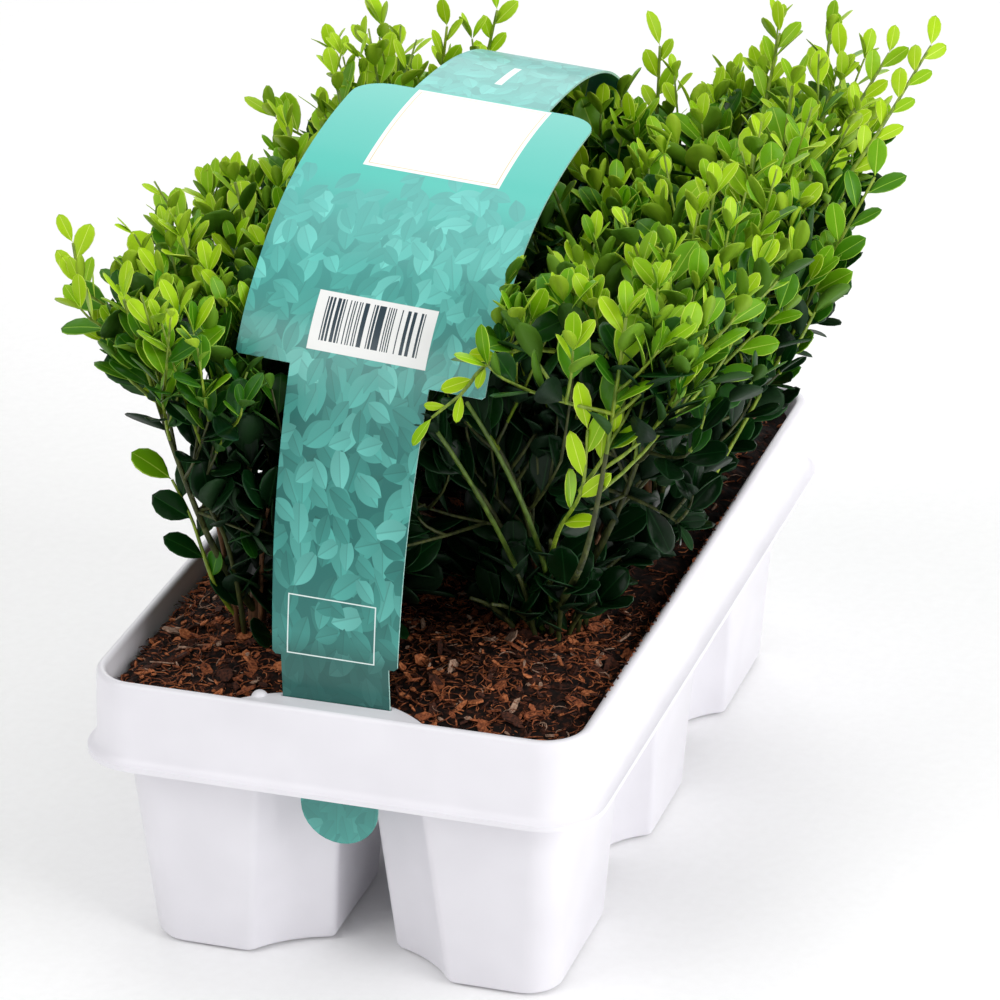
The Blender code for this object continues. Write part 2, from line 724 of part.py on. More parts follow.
def fits(points, index, margin=0.0):
    """Whether points stay in the crown and in the mass's share, clear of limbs and strap."""
    return (all(in_crown(p) for p in points) and in_share(points, index)
            and clear_of_limbs(points, LIMB_MARGIN + margin) and clear_of_strap(points, STRAP_MARGIN + margin))


def spaced(points, taken, gap):
    """Whether all points keep their distance from the leaves and twigs already grown."""
    if not taken:
        return True
    off = np.asarray(points, float)[:, None, :] - np.asarray(taken)[None]
    return np.linalg.norm(off, axis=2).min() > gap


def turned_side(tangent, angle):
    """A direction square to a twig, turned round it."""
    side = tangent.orthogonal().normalized()
    side.rotate(Matrix.Rotation(angle, 3, tangent))
    return side


def grow_mass(index, start, heading):
    """Twigs that branch from one stem by a seeded rule, with leaves fused on."""
    name, _, letter, mid_x, mid_y = MASSES[index]
    rng = random.Random(71 + 13 * index)
    lean = OUTER_LEAN if letter != "c" else 1.0
    tip_x = mid_x * lean
    tip_y = mid_y * END_LEAN
    tip_z = crown_top(tip_x, tip_y) - TIP_DEPTH
    if letter == "c":
        tip_z = min(tip_z, float(np.interp(tip_y, STRAP_LINE[:, 0], STRAP_LINE[:, 1])) - UNDER_STRAP)
    middle = np.array(start) + np.array(heading) * LEADER_BEND
    leader = bend(start, middle, (tip_x, tip_y, tip_z), 6)
    solids = [tube(leader, np.linspace(TWIG_RADIUS, TWIG_TIP_RADIUS, 6), 3)]
    twigs = [(leader, LEADER_BARE)]
    taken = []
    goal = LEAVES_INNER if letter == "c" else LEAVES_OUTER
    for k in range(SIDE_TWIGS):
        share = TWIG_SHARES[0] + (TWIG_SHARES[1] - TWIG_SHARES[0]) * k / (SIDE_TWIGS - 1)
        foot, tangent = along_path(leader, share)
        for attempt in range(TWIG_TRIES):
            side = turned_side(tangent, GOLDEN_ANGLE * (k + 3 * attempt) + rng.uniform(-0.3, 0.3))
            out = (tangent * 0.55 + side * 0.9 + UP * 0.25).normalized()
            length = rng.uniform(*TWIG_LENGTH) * (1.0 - TWIG_SHORTER * attempt)
            end = foot + out * length + UP * length * TWIG_LIFT
            path = bend(foot, foot + out * length * 0.5, end, 3)
            tests = [foot + (end - foot) * t for t in TWIG_TESTS]
            if fits(tests, index) and spaced(tests, taken, 2 * LEAF_SPACING):
                taken += tests
                solids.append(tube(path, np.linspace(TWIG_RADIUS * 0.65, TWIG_TIP_RADIUS, 3), 3))
                twigs.append((path, TWIG_BARE))
                break
    leaves = 0
    turn = rng.uniform(0, 6.28)
    for layer in range(LEAF_LAYERS):
        for path, low in twigs:
            if leaves >= goal:
                break
            down = (layer * GOLDEN_SHARE + FIRST_PLACE) % 1.0
            foot, tangent = along_path(path, 1.0 - (1.0 - low) * down if layer else TIP_PLACE)
            for attempt in range(LEAF_TRIES):
                turn += GOLDEN_ANGLE
                side = turned_side(tangent, turn)
                forward = 1.1 if layer == 0 else 0.55
                direction = (tangent * forward + side * 0.8 + UP * 0.15).normalized()
                normal = (UP + side * 0.35 + tangent * 0.2).normalized()
                if abs(direction.dot(normal)) > 0.95:
                    normal = direction.orthogonal()
                length = rng.uniform(*LEAF_LENGTH) * (1.0 - LEAF_SHORTER * attempt)
                width = length * LEAF_WIDTH
                samples = leaf_samples(foot, direction, normal, length, width)
                if fits(samples, index) and spaced(samples[8:], taken, LEAF_SPACING):
                    taken += samples[4:]
                    root = foot - direction * LEAF_ROOT
                    solids.append(leaf_solid(root, direction, normal, length, width))
                    leaves += 1
                    break
    return join_mass(f"leaves_{name}", solids)


def keep_one_body(piece, merge_flat):
    """Drop loose scraps and fill sealed hollows: only the largest outer skin stays."""
    bm = bmesh.new()
    bm.from_mesh(piece.data)
    if merge_flat:
        bmesh.ops.dissolve_limit(bm, angle_limit=FLAT_ANGLE, verts=bm.verts[:], edges=bm.edges[:])
    bmesh.ops.triangulate(bm, faces=bm.faces[:])
    left = set(bm.faces)
    skins = []
    while left:
        seed = left.pop()
        skin = {seed}
        waiting = [seed]
        while waiting:
            face = waiting.pop()
            for edge in face.edges:
                for other in edge.link_faces:
                    if other in left:
                        left.discard(other)
                        skin.add(other)
                        waiting.append(other)
        volume = 0.0
        for face in skin:
            a, b, c = (v.co for v in face.verts)
            volume += a.dot(b.cross(c)) / 6
        skins.append((volume, skin))
    skins.sort(key=lambda s: s[0], reverse=True)
    drop = [face for _, skin in skins[1:] for face in skin]
    if drop:
        bmesh.ops.delete(bm, geom=drop, context="FACES")
    bm.to_mesh(piece.data)
    bm.free()
    return piece


def open_edges(piece):
    """Number of edges that don't have exactly two faces."""
    bm = bmesh.new()
    bm.from_mesh(piece.data)
    count = sum(1 for edge in bm.edges if len(edge.link_faces) != 2)
    bm.free()
    return count


def join_mass(name, solids):
    """Fuse one mass by a Boolean union, with the other solver where the first leaves it open."""
    for solver, merge_flat in (("EXACT", True), ("MANIFOLD", True), ("EXACT", False), ("MANIFOLD", False)):
        pieces = [add_object(name + " part", solid.copy(), FOLIAGE) for solid in solids]
        whole = apply_boolean(pieces[0], "UNION", pieces[1:], solver)
        keep_one_body(whole, merge_flat)
        if open_edges(whole) == 0:
            break
        bpy.data.objects.remove(whole, do_unlink=True)
    for solid in solids:
        solid.free()
    whole.name = name
    whole.data.name = name
    return whole


def make_plant(column, row):
    """Stem with its root flare, and one bough to each outer mass."""
    number = cell_number(column, row)
    foot_x, foot_y = STEM_FEET[(column, row)]
    foot_z = stem_foot_z()
    surface = COMPOST_EDGE + COMPOST_MOUND
    fork_z = surface + FORK_HEIGHT
    inner = next(m for m in MASSES if m[1] == (column, row) and m[2] == "c")
    lean = Vector((inner[3] - foot_x, inner[4] - foot_y, 0)) * FORK_LEAN
    fork = Vector((foot_x + lean.x, foot_y + lean.y, fork_z))
    path = []
    for t in STEM_SHARES:
        bow = max(0.0, (t - STEM_BOW_START) / (1.0 - STEM_BOW_START)) ** STEM_BOW_POWER
        path.append((foot_x + lean.x * bow, foot_y + lean.y * bow, foot_z + (fork_z - foot_z) * t))
    radii = (STEM_FOOT_RADIUS, STEM_FOOT_RADIUS * STEM_TAPER, STEM_RADIUS, STEM_RADIUS * STEM_TAPER,
             STEM_TIP_RADIUS)
    add_object(f"stem_{number}", tube(path, radii, 8), BARK, smooth=True)
    LIMBS.append((np.array(path, float), np.array(radii)))
    starts = {"c": (fork + UP * LIMB_GAP, Vector((lean.x, lean.y, 0.05)).normalized())}
    for name, plant, letter, mid_x, mid_y in MASSES:
        if plant != (column, row) or letter == "c":
            continue
        goal = Vector((foot_x + (mid_x - foot_x) * BOUGH_REACH[0], foot_y + (mid_y - foot_y) * BOUGH_REACH[1],
                       MASS_START_HEIGHT))
        away = Vector((goal.x - fork.x, goal.y - fork.y, 0)).normalized()
        begin = fork + away * (STEM_TIP_RADIUS + BOUGH_RADIUS + BOUGH_OFFSET) - UP * BOUGH_DROP
        middle = begin + away * BOUGH_BEND[0] + UP * BOUGH_BEND[1]
        bough = bend(begin, middle, goal, 5)
        radii = np.linspace(BOUGH_RADIUS, BOUGH_TIP_RADIUS, 5)
        add_object(f"bough_{name}", tube(bough, radii, 6), BARK, smooth=True)
        LIMBS.append((bough, radii))
        heading = Vector(bough[-1] - bough[-2]).normalized()
        starts[letter] = (Vector(bough[-1]) + heading * LIMB_GAP, heading)
    return starts


def centre_on_ground():
    """Move everything so that the origin is under the middle of the whole box."""
    pieces = [o for o in bpy.data.objects if o.type == "MESH"]
    corners = np.array([v.co for o in pieces for v in o.data.vertices])
    low, high = corners.min(0), corners.max(0)
    shift = Vector((-(low[0] + high[0]) / 2, -(low[1] + high[1]) / 2, -low[2]))
    for piece in pieces:
        piece.data.transform(Matrix.Translation(shift))


make_tray()
for cell_row in CELL_ROWS:
    for cell_column in CELL_COLUMNS:
        make_compost(cell_column, cell_row)
make_strap()
plant_starts = {}
for cell_row in CELL_ROWS:
    for cell_column in CELL_COLUMNS:
        plant_starts[(cell_column, cell_row)] = make_plant(cell_column, cell_row)
for mass_index, mass in enumerate(MASSES):
    start_point, start_heading = plant_starts[mass[1]][mass[2]]
    grow_mass(mass_index, start_point, start_heading)
centre_on_ground()
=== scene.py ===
"""Looks of six young box-leaved hollies in one white nursery tray, under a printed label strap.

Metres throughout, +Z up. Every piece is worked out in the tray's own frame, with the tray's
middle at x = y = 0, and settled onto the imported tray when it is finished.
"""
import math
import random

import bmesh
import bpy
import numpy as np
from mathutils import Matrix, Vector, noise


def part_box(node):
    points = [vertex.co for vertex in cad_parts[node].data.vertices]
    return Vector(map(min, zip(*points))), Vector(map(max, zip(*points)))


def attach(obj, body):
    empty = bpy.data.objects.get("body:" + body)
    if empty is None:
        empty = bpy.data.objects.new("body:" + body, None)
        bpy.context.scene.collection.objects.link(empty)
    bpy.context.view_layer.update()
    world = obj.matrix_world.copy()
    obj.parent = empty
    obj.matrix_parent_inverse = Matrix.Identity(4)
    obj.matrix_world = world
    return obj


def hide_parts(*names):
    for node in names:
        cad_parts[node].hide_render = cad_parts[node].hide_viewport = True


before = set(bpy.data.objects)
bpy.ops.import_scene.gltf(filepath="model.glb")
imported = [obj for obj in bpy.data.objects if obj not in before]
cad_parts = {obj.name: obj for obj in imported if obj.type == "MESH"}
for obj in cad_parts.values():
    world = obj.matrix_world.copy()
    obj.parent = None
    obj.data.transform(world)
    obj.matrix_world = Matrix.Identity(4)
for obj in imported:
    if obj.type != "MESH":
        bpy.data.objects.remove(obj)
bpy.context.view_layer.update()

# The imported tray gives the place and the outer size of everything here
TRAY_LOW, TRAY_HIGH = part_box("tray")
TRAY_SHIFT = Vector(((TRAY_LOW.x + TRAY_HIGH.x) / 2, (TRAY_LOW.y + TRAY_HIGH.y) / 2, 0.0))
TRAY_WIDTH = TRAY_HIGH.x - TRAY_LOW.x
TRAY_LENGTH = TRAY_HIGH.y - TRAY_LOW.y
TRAY_HEIGHT = TRAY_HIGH.z
MM = 0.001
GAP = 0.0003
UP = Vector((0.0, 0.0, 1.0))

# Tray: heights above the ground and the insets of its wall from the flange's edge
FLANGE_BOTTOM = 0.0737
FLANGE_TOP = 0.0755
WEB_BOTTOM = 0.0905
WEB_TOP = 0.0920
TRAY_CORNER = 0.020
LIP_RADIUS = 0.0017
COLLAR_INSET = 0.0042
BASIN_INSET = 0.0090
BASIN_CORNER = TRAY_CORNER - 0.0048
# Steps as (inwards, upwards): the flare over the flange, the web's edge and the flange's underside
FLARE = ((0.0007, 0.0002), (0.0013, 0.0009), (0.0008, 0.0014), (0.0005, 0.0024))
WEB_EDGE = (0.0004, 0.0010)
UNDERSIDE = ((0.0049, 0.0), (0.0009, FLANGE_BOTTOM - WEB_BOTTOM))

# Cells: two across and three deep, measured at the web and at the foot
CELLS = [(column, row) for column in (-1, 1) for row in (-1, 0, 1)]
CELL_REACH_X = 0.0790
CELL_REACH_Y = 0.1420
CELL_SPACING = 0.0060
OUTER_DRAFT = 0.0070
INNER_DRAFT = 0.0080
CELL_CORNER = 0.012
CELL_WALL = 0.0012
CELL_FLOOR = 0.0014
FOOT_BEVEL = 0.0025
END_SCOOP = (0.024, 0.017)
SIDE_SCOOP = (0.014, 0.018)
MIDDLE_SCOOP = (0.014, 0.014)
SCOOP_BOW = 0.0025
CORNER_STEPS = 12
FACET_ROUNDING = 0.0021
FACET_STEPS = 6

# Seats for the strap in the middle of both short sides
SEAT_HALF_WIDTH = 0.0336
SEAT_OUTER_Y = 0.1477
SEAT_BACK = 0.0013
SEAT_DEPTH = 0.0130
SEAT_FULLNESS = 2.6
SEAT_TOP = 0.1031
SEAT_STEP = 0.0955
SEAT_ROUNDING = 0.0011
SEAT_KNOB = (-0.0262, -0.1405)
SEAT_KNOB_RADIUS = 0.0030
SEAT_STEPS = 40
SEAT_SINK = 0.0006
SEAT_MARGIN = 0.002
SLOT_FOOT = 0.080
SLOT_TOP = 0.110

# Compost
COMPOST_GRID = (110, 180)
COMPOST_EDGE = 0.0966
COMPOST_MOUND = 0.0045
FRONT_RIGHT_MOUND = 0.0085
MOUND_FULLNESS = 0.7
# Clods and fine grain, as (height, level in the noise, how many to the metre)
COMPOST_RELIEF = ((0.0016, 0.3, 140), (0.0011, 5.1, 330))
WALL_DIP = (0.0022, 0.006)
SOCKET_DEPTH = 0.0080
# Litter: how far it spreads over the basin, the share that lies anywhere, and where the rest ends
LITTER_SPREAD = 0.985
LITTER_ANYWHERE = 0.45
LITTER_FRONT = -0.2
FIBRES = 5000
FIBRE_BOW = (0.0012, 0.0050)
FIBRE_SWEEP = (0.7, 3.4)
FIBRE_RADIUS = (0.00012, 0.00032)
FIBRE_TAPER = np.array((0.5, 1.0, 1.0, 1.0, 0.9, 0.3))
CHIPS = 2000
CHIP_SIDES = 6
SMALL_CHIP_SHARE = 0.75
CHIP_LENGTHS = ((0.0018, 0.0042), (0.0045, 0.0095))
CHIP_WIDTH_SHARE = (0.22, 0.6)
CHIP_THICKNESS = (0.0003, 0.0008)
# Shares of the four kinds of litter
FIBRE_KINDS = (0.44, 0.34, 0.16, 0.06)
CHIP_KINDS = (0.30, 0.42, 0.20, 0.08)
# Curled dry leaves on the compost, and crumbs that lie on the right rim's inner edge
DRY_LEAVES = ((-0.0729, -0.1007), (0.0420, -0.0850))
DRY_LEAF_SIZE = (0.0100, 0.0060)
DRY_LEAF_LIFT = 0.0022
RIM_CRUMBS = 70
CRUMB_LENGTH = (0.0006, 0.0018)
CRUMB_WIDTH = 0.0006
RIM_CRUMB_RUN = (-0.112, 0.050)

# Strap: widths are half-widths
STRAP_THICKNESS = 0.0008
STRAP_Y = 0.1390
TONGUE_RADIUS = 0.0135
TONGUE_LENGTH = 0.0230
NECK_HALF_WIDTH = 0.0185
BAND_FOOT_HALF_WIDTH = 0.0215
BAND_TOP_HALF_WIDTH = 0.0237
PANEL_HALF_WIDTH = 0.0425
PANEL_CORNER = 0.0120
ARCH_HALF_WIDTH = 0.0240
STRAP_TILT = 0.075
TILT_HEIGHT = 0.07
STRAP_FOOT_Z = FLANGE_BOTTOM - TONGUE_LENGTH
BAND_FOOT_Z = 0.1185
# The strip's curve seen from the side, as (y, z) of its middle line from front to back
STRAP_CURVE = (
    (-STRAP_Y, STRAP_FOOT_Z), (-STRAP_Y, FLANGE_TOP), (-STRAP_Y, TRAY_HEIGHT),
    (-0.1385, 0.1250), (-0.1290, 0.1650), (-0.1085, 0.2070), (-0.0860, 0.2290),
    (-0.0560, 0.2450), (-0.0200, 0.2530), (0.0200, 0.2550), (0.0650, 0.2510),
    (0.1000, 0.2400), (0.1240, 0.2190), (0.1370, 0.1850), (0.1410, 0.1480),
    (STRAP_Y, 0.1200), (STRAP_Y, TRAY_HEIGHT), (STRAP_Y, FLANGE_TOP), (STRAP_Y, STRAP_FOOT_Z),
)
PANEL_START_Y = -0.1085
PANEL_END_Y = 0.0200
CORNER_NICK = 0.0010
BEND_SPACING = 0.0035
FOLD_LINES = (-0.030, -0.015, 0.0, 0.015, 0.030)

# Print and painted shade on the strap, in millimetres across and along it
# Layers of leaf motifs, as (spacing, shift, dark, middle and light tone), each over the last
MOTIF_LAYERS = (
    (15.0, 3.1, "#2B7B74", "#378C83", "#429A90"),
    (12.0, 7.7, "#34887F", "#439E94", "#52AFA4"),
    (14.0, 12.3, "#3D958C", "#51B0A5", "#66C3B8"),
    (10.5, 21.9, "#2F8078", "#469F95", "#5DBBB0"),
    (12.5, 33.5, "#429C92", "#5ABBB0", "#76D2C7"),
    (9.5, 47.1, "#378C83", "#4CA79D", "#6AC8BD"),
)
MOTIF_SLENDER = 0.8
MOTIF_SKEW = 0.7
MOTIF_STALK = 0.06
MOTIF_HALF_WIDTH = 0.265
MOTIF_TAPER = -1.10
# Where motifs end below the panel's plain top, how raggedly, and where they start again behind it
MOTIF_END = 222.0
MOTIF_END_SPREAD = 26.0
MOTIF_RESTART = 305.0
PLAIN_COLOURS = ("#256F69", "#0CAE98")
# Washes along the strap, darker towards its foot and paler towards the panel's plain top, as (start, end,
# share at the start, share at the end, colour)
STRAP_WASHES = ((60.0, 175.0, 0.34, 0.0, "#1F6E68"), (130.0, 235.0, 0.0, 0.50, "#62D2CA"))
PRINT_EDGE = 0.06
# Boxes of print and one of painted shade, as (left, right, low, high, soft edge, line width or 0 if filled,
# share of colour, colour)
PRINT_AND_SHADE_BOXES = (
    # Painted shade: the first box darkens the strap's neck, where it stands in shade between the compost and
    # the seat
    (-40.0, 40.0, 26.0, 72.0, 4.0, 0, 0.80, "#0C524C"),
    (-40.0, 40.0, -5.0, 24.0, 1.5, 0, 0.35, "#5CB8AE"),
    (-22.0, 25.5, 245.0, 303.6, PRINT_EDGE, 0, 1.0, "#F6F5F3"),
    (-20.6, 24.1, 246.6, 302.0, PRINT_EDGE, 0.3, 1.0, "#D9C48F"),
    (-19.2, 21.4, 167.6, 188.5, PRINT_EDGE, 0, 1.0, "#F4F4F3"),
    (-16.5, 13.7, 68.4, 88.4, PRINT_EDGE, 0.4, 1.0, "#E6F4F1"),
    (-1.0, 1.6, 322.0, 345.0, PRINT_EDGE, 0, 1.0, "#EEF6F4"),
)
BAR_BOX = (-15.8, 18.2, 171.0, 186.6)
BARS_PER_MM = 2.6
BAR_COLOUR = "#12303E"

# Plants, counted from the front and left before right: foot of each stem on the compost
STEM_FEET = {
    (-1, -1): (-0.046, -0.090), (1, -1): (0.050, -0.064),
    (-1, 0): (-0.044, -0.004), (1, 0): (0.060, 0.024),
    (-1, 1): (-0.042, 0.092), (1, 1): (0.046, 0.100),
}
STEM_FOOT_RADIUS = 0.0034
STEM_RADIUS = 0.0025
STEM_TIP_RADIUS = 0.0017
FORK_HEIGHT = 0.030
BOUGH_RADIUS = 0.0014
BOUGH_TIP_RADIUS = 0.0010
BOUGH_START = 0.1060
BOUGH_BOW = 0.0030
TWIG_RADIUS = 0.0011
TWIG_TIP_RADIUS = 0.0006
STEM_GROUND = 0.0972
STEM_FLARE_HEIGHT = 0.0035
STEM_LEAN = 0.22
STEM_BOW_START = 0.45
# The stem's radius by share of its height
STEM_TAPER = ((0.0, 0.45, 0.62, 1.0),
              (STEM_FOOT_RADIUS, STEM_FOOT_RADIUS * 0.9, STEM_RADIUS, STEM_TIP_RADIUS))
BOUGH_SIDE_SHARE = 0.80

# Crown: how far the foliage reaches at its low edge and at its top
CROWN_LOW = 0.112
CROWN_TOP_LEFT = 0.240
CROWN_TOP_RIGHT = 0.268
TOP_ACROSS_SHARE = 0.75
# Its reach to the left, to the right and along the tray, at its low edge and where it is widest
LEFT, RIGHT, DEEP = 0, 1, 2
REACH_LOW = (-0.072, 0.084, 0.118)
REACH_TOP = (-0.112, 0.144, 0.160)
REACH_HEIGHT = 0.236
CROWN_SQUARENESS = 4.0
# How far leaves hang under the low edge, and how much room under the top narrows the sides
LOW_LEAVES = 0.008
SIDE_SPARE = 4.0
# How far under the top the dense foliage ends, in front and at the back
DENSE_TOP_FRONT = 0.020
DENSE_TOP_BACK = 0.034
# How far leaves may pass into the next mass, and how far they stay off the strap
SHARE_OVERLAP = 0.010
STRAP_CLEARANCE = 0.0020
# The left side by height: narrow over the tray's rim and spreading steeply, as in the photograph
LEFT_HEIGHTS = (0.100, 0.120, 0.135, 0.150, 0.165, 0.185, 0.205, 0.225, 0.250)
LEFT_REACHES = (-0.072, -0.070, -0.063, -0.061, -0.068, -0.085, -0.105, -0.118, -0.114)
# Open places that show the dark inside of the front plants, with painted shade on the leaves round them, as
# (middle, half-sizes)
HOLLOWS = (
    ((0.0660, -0.1200, 0.1880), (0.030, 0.034, 0.032)),
    ((0.0370, -0.1080, 0.1640), (0.022, 0.030, 0.026)),
    ((0.0300, -0.1050, 0.1240), (0.024, 0.024, 0.016)),
    ((0.0800, -0.1080, 0.1560), (0.018, 0.022, 0.018)),
)

# Foliage masses, as in the solids
OUTER_MASS_X = (-0.068, 0.088)
INNER_MASS_X = (-0.020, 0.032)
ROW_SPACING = 0.094
OUTER_MASS_STEP = 0.024
MASS_MID_HEIGHT = 0.190
MASS_START_HEIGHT = 0.147
OUTER_LEAN = 1.08
END_LEAN = 1.07
TIP_DEPTH = 0.012
UNDER_STRAP = 0.022
LEADER_BENDS = (0.026, 0.042)
OUTER_START_SHARES = (0.40, 0.62)
# Seeds of the random draws
LITTER_SEED = 409
MASS_SEED, MASS_SEED_STEP = 71, 13
BASE_SEED = 900
FRONT_SEED = 555
ACCENT_SEED = 700
GOLDEN_ANGLE = math.pi * (3.0 - math.sqrt(5.0))


def linear(hex_colour):
    """An sRGB hex colour as linear red, green, blue and full alpha."""
    parts = [int(hex_colour[i:i + 2], 16) / 255 for i in (1, 3, 5)]
    return tuple(c / 12.92 if c <= 0.04045 else ((c + 0.055) / 1.055) ** 2.4 for c in parts) + (1.0,)


def add_node(tree, kind, inputs=(), out=0, stops=(), **settings):
    """One node: its inputs as values or links, a ramp's stops as (place, hex); gives one of its outputs."""
    node = tree.nodes.new("ShaderNode" + kind)
    for name, value in settings.items():
        setattr(node, name, value)
    for socket, value in dict(inputs).items():
        if isinstance(value, bpy.types.NodeSocket):
            tree.links.new(value, node.inputs[socket])
        else:
            node.inputs[socket].default_value = value
    for _ in stops[2:]:
        node.color_ramp.elements.new(0.5)
    for k, (place, colour) in enumerate(stops):
        element = node.color_ramp.elements[k]
        element.position = place
        element.color = linear(colour)
    return node.outputs[out]


def new_material(name, **sockets):
    """A material and its shader, with constants set on the shader's own sockets."""
    material = bpy.data.materials.new(name)
    material.use_nodes = True
    shader = material.node_tree.nodes["Principled BSDF"]
    for socket, value in sockets.items():
        shader.inputs[socket.replace("_", " ")].default_value = value
    return material, material.node_tree, shader


def noise_bump(tree, shader, size, height, detail, stretch=(1.0, 1.0, 1.0)):
    """Relief of a given grain size and height in metres, on Object coordinates; gives its noise."""
    place = add_node(tree, "TexCoord", out="Object")
    turned = add_node(tree, "Mapping", {"Vector": place, "Scale": stretch})
    grain = add_node(tree, "TexNoise", {"Vector": turned, "Scale": 1.0 / size, "Detail": detail}, out="Fac")
    bump = add_node(tree, "Bump", {"Height": grain, "Distance": height, "Strength": 1.0})
    tree.links.new(bump, shader.inputs["Normal"])
    return grain


def grained(name, stops, size, height, detail=3.0, stretch=(1.0, 1.0, 1.0), **sockets):
    """A material whose colour and relief follow one noise; grain size and height in metres."""
    material, tree, shader = new_material(name, **sockets)
    grain = noise_bump(tree, shader, size, height, detail, stretch)
    tree.links.new(add_node(tree, "ValToRGB", {"Fac": grain}, stops=stops), shader.inputs["Base Color"])
    return material


# Injection-moulded polypropylene: an even cool white with a soft gloss and faint flow marks
WHITE = grained("injection_moulded_white_polypropylene", ((0.30, "#ECEAF0"), (0.72, "#F2F0F6")),
                size=22 * MM, height=0.04 * MM, detail=1.5, Roughness=0.36, IOR=1.49)
# Bark fines and peat: nearly black where moist, red-brown where fibres dry out
COMPOST = grained("moist_bark_and_coir_compost",
                  ((0.36, "#080403"), (0.52, "#180B07"), (0.64, "#3A1C10"), (0.78, "#5A2C18")),
                  size=2.4 * MM, height=0.6 * MM, detail=6.0, Roughness=0.92, Specular_IOR_Level=0.25)
# Shreds of coir and bark, torn along the grain: dry and dull, streaked dark and light
LITTER = [
    grained(name, ((0.32, dark), (0.68, light)), size=0.9 * MM, height=0.15 * MM, detail=4.0,
            Roughness=0.85, Specular_IOR_Level=0.3)
    for name, dark, light in (
        ("red_brown_coir_fibre", "#4E2212", "#B0653E"),
        ("dark_bark_fibre", "#1A0D08", "#5A3020"),
        ("orange_bark_chip", "#82401E", "#CE8052"),
        ("weathered_tan_bark", "#7A5848", "#C4A28A"),
    )
]
# Thin young bark, grown with fine fissures that run up the limb: dull and brown on stems,
# green and smoother on this year's twigs
STEM_BARK, TWIG_BARK, SHOOT_BARK, OLD_TWIG_BARK = (
    grained(name, ((0.34, dark), (0.66, light)), size=1.6 * MM, height=0.25 * MM, detail=5.0,
            stretch=(1.0, 1.0, 0.28), Roughness=roughness)
    for name, dark, light, roughness in (
        ("brown_young_stem_bark", "#4A2E1A", "#8A5E3A", 0.65),
        ("green_twig_bark", "#5A7618", "#93AA2E", 0.45),
        ("olive_green_shoot_bark", "#3A5012", "#607C28", 0.50),
        ("olive_older_twig_bark", "#262D10", "#4C5420", 0.60),
    )
)
# The die-cut edge of the strap's film: paler than its faces
CUT_EDGE = grained("pale_cut_edge_of_film", ((0.3, "#9FD8CE"), (0.7, "#C6EAE3")),
                   size=1.5 * MM, height=0.05 * MM, Roughness=0.45)
# The extruded film's unprinted back: plain dull teal with faint waves
FILM_BACK = grained("unprinted_back_of_teal_film", ((0.3, "#2F7F76"), (0.7, "#3A8E84")),
                    size=6 * MM, height=0.04 * MM, Roughness=0.42)
# Rolled backdrop paper: matt and nearly even
BACKDROP = grained("matte_white_backdrop_paper", ((0.3, "#FAFAFA"), (0.7, "#FDFDFD")),
                   size=4 * MM, height=0.02 * MM, Roughness=0.85)

# Leaf tones from light to dark, dealt by the leaf's age and by painted light and shade: upper face, rib and
# underside and the roughness of its upper side. Each is one green under a waxy skin that is faintly uneven
LEAF_TONES = (
    ("#A6CE18", "#D2E560", "#9CBE2C", 0.38),
    ("#8CBC12", "#C2DC52", "#86AC26", 0.36),
    ("#6CA40E", "#ACCF48", "#6C9622", 0.34),
    ("#467F0C", "#8DB93C", "#507A1E", 0.33),
    ("#2A620B", "#5C8E2C", "#3A601C", 0.31),
    ("#15460B", "#2F621C", "#274C1A", 0.30),
    ("#0B310C", "#1E4A1C", "#1A361A", 0.29),
    ("#07230B", "#163A1A", "#122816", 0.29),
)
UNDERSIDE_ROUGHNESS = 0.52


def leaf_materials():
    """Every tone's upper face, rib and underside, in that order."""
    finishes = []
    for tone, (face, rib, under, gloss) in enumerate(LEAF_TONES, 1):
        for part, colour, roughness in (("tone", face, gloss), ("rib", rib, gloss),
                                        ("underside", under, UNDERSIDE_ROUGHNESS)):
            material, tree, shader = new_material(f"holly_leaf_{part}_{tone}", Base_Color=linear(colour),
                                                  Roughness=roughness, IOR=1.45, Specular_IOR_Level=0.20)
            noise_bump(tree, shader, size=3.5 * MM, height=0.12 * MM, detail=2.0)
            finishes.append(material)
    return finishes


LEAF_SLOTS = leaf_materials()


def mesh_piece(name, points, faces, materials, kinds=(), smooth=True):
    """A mesh object from points and faces; kinds give each face's material by number."""
    mesh = bpy.data.meshes.new(name)
    mesh.from_pydata([tuple(p) for p in points], [], faces)
    for material in materials:
        mesh.materials.append(material)
    if kinds:
        mesh.polygons.foreach_set("material_index", kinds)
    if smooth:
        mesh.shade_smooth()
    piece = bpy.data.objects.new(name, mesh)
    bpy.context.scene.collection.objects.link(piece)
    return piece


def work_on(piece):
    """Make one piece the only selected and active one."""
    bpy.ops.object.select_all(action="DESELECT")
    piece.select_set(True)
    bpy.context.view_layer.objects.active = piece


def add_primitive(operator, **settings):
    """A new piece from one of Blender's primitives, with nothing else selected."""
    bpy.ops.object.select_all(action="DESELECT")
    operator(**settings)
    return bpy.context.active_object


def block(x0, x1, y0, y1, z0, z1):
    """A plain block between two corners."""
    piece = add_primitive(bpy.ops.mesh.primitive_cube_add, size=1.0,
                          location=((x0 + x1) / 2, (y0 + y1) / 2, (z0 + z1) / 2))
    piece.scale = (x1 - x0, y1 - y0, z1 - z0)
    bpy.ops.object.transform_apply(location=True, rotation=False, scale=True)
    return piece


def fix_normals(piece):
    """Turn every closed body's faces outwards."""
    work_on(piece)
    bpy.ops.object.mode_set(mode="EDIT")
    bpy.ops.mesh.select_all(action="SELECT")
    bpy.ops.mesh.normals_make_consistent(inside=False)
    bpy.ops.object.mode_set(mode="OBJECT")


def settle(piece, slot, *nodes):
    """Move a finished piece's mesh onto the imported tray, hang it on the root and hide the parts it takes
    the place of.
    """
    piece.data.transform(Matrix.Translation(TRAY_SHIFT))
    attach(piece, "root")
    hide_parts(*nodes)
    return piece


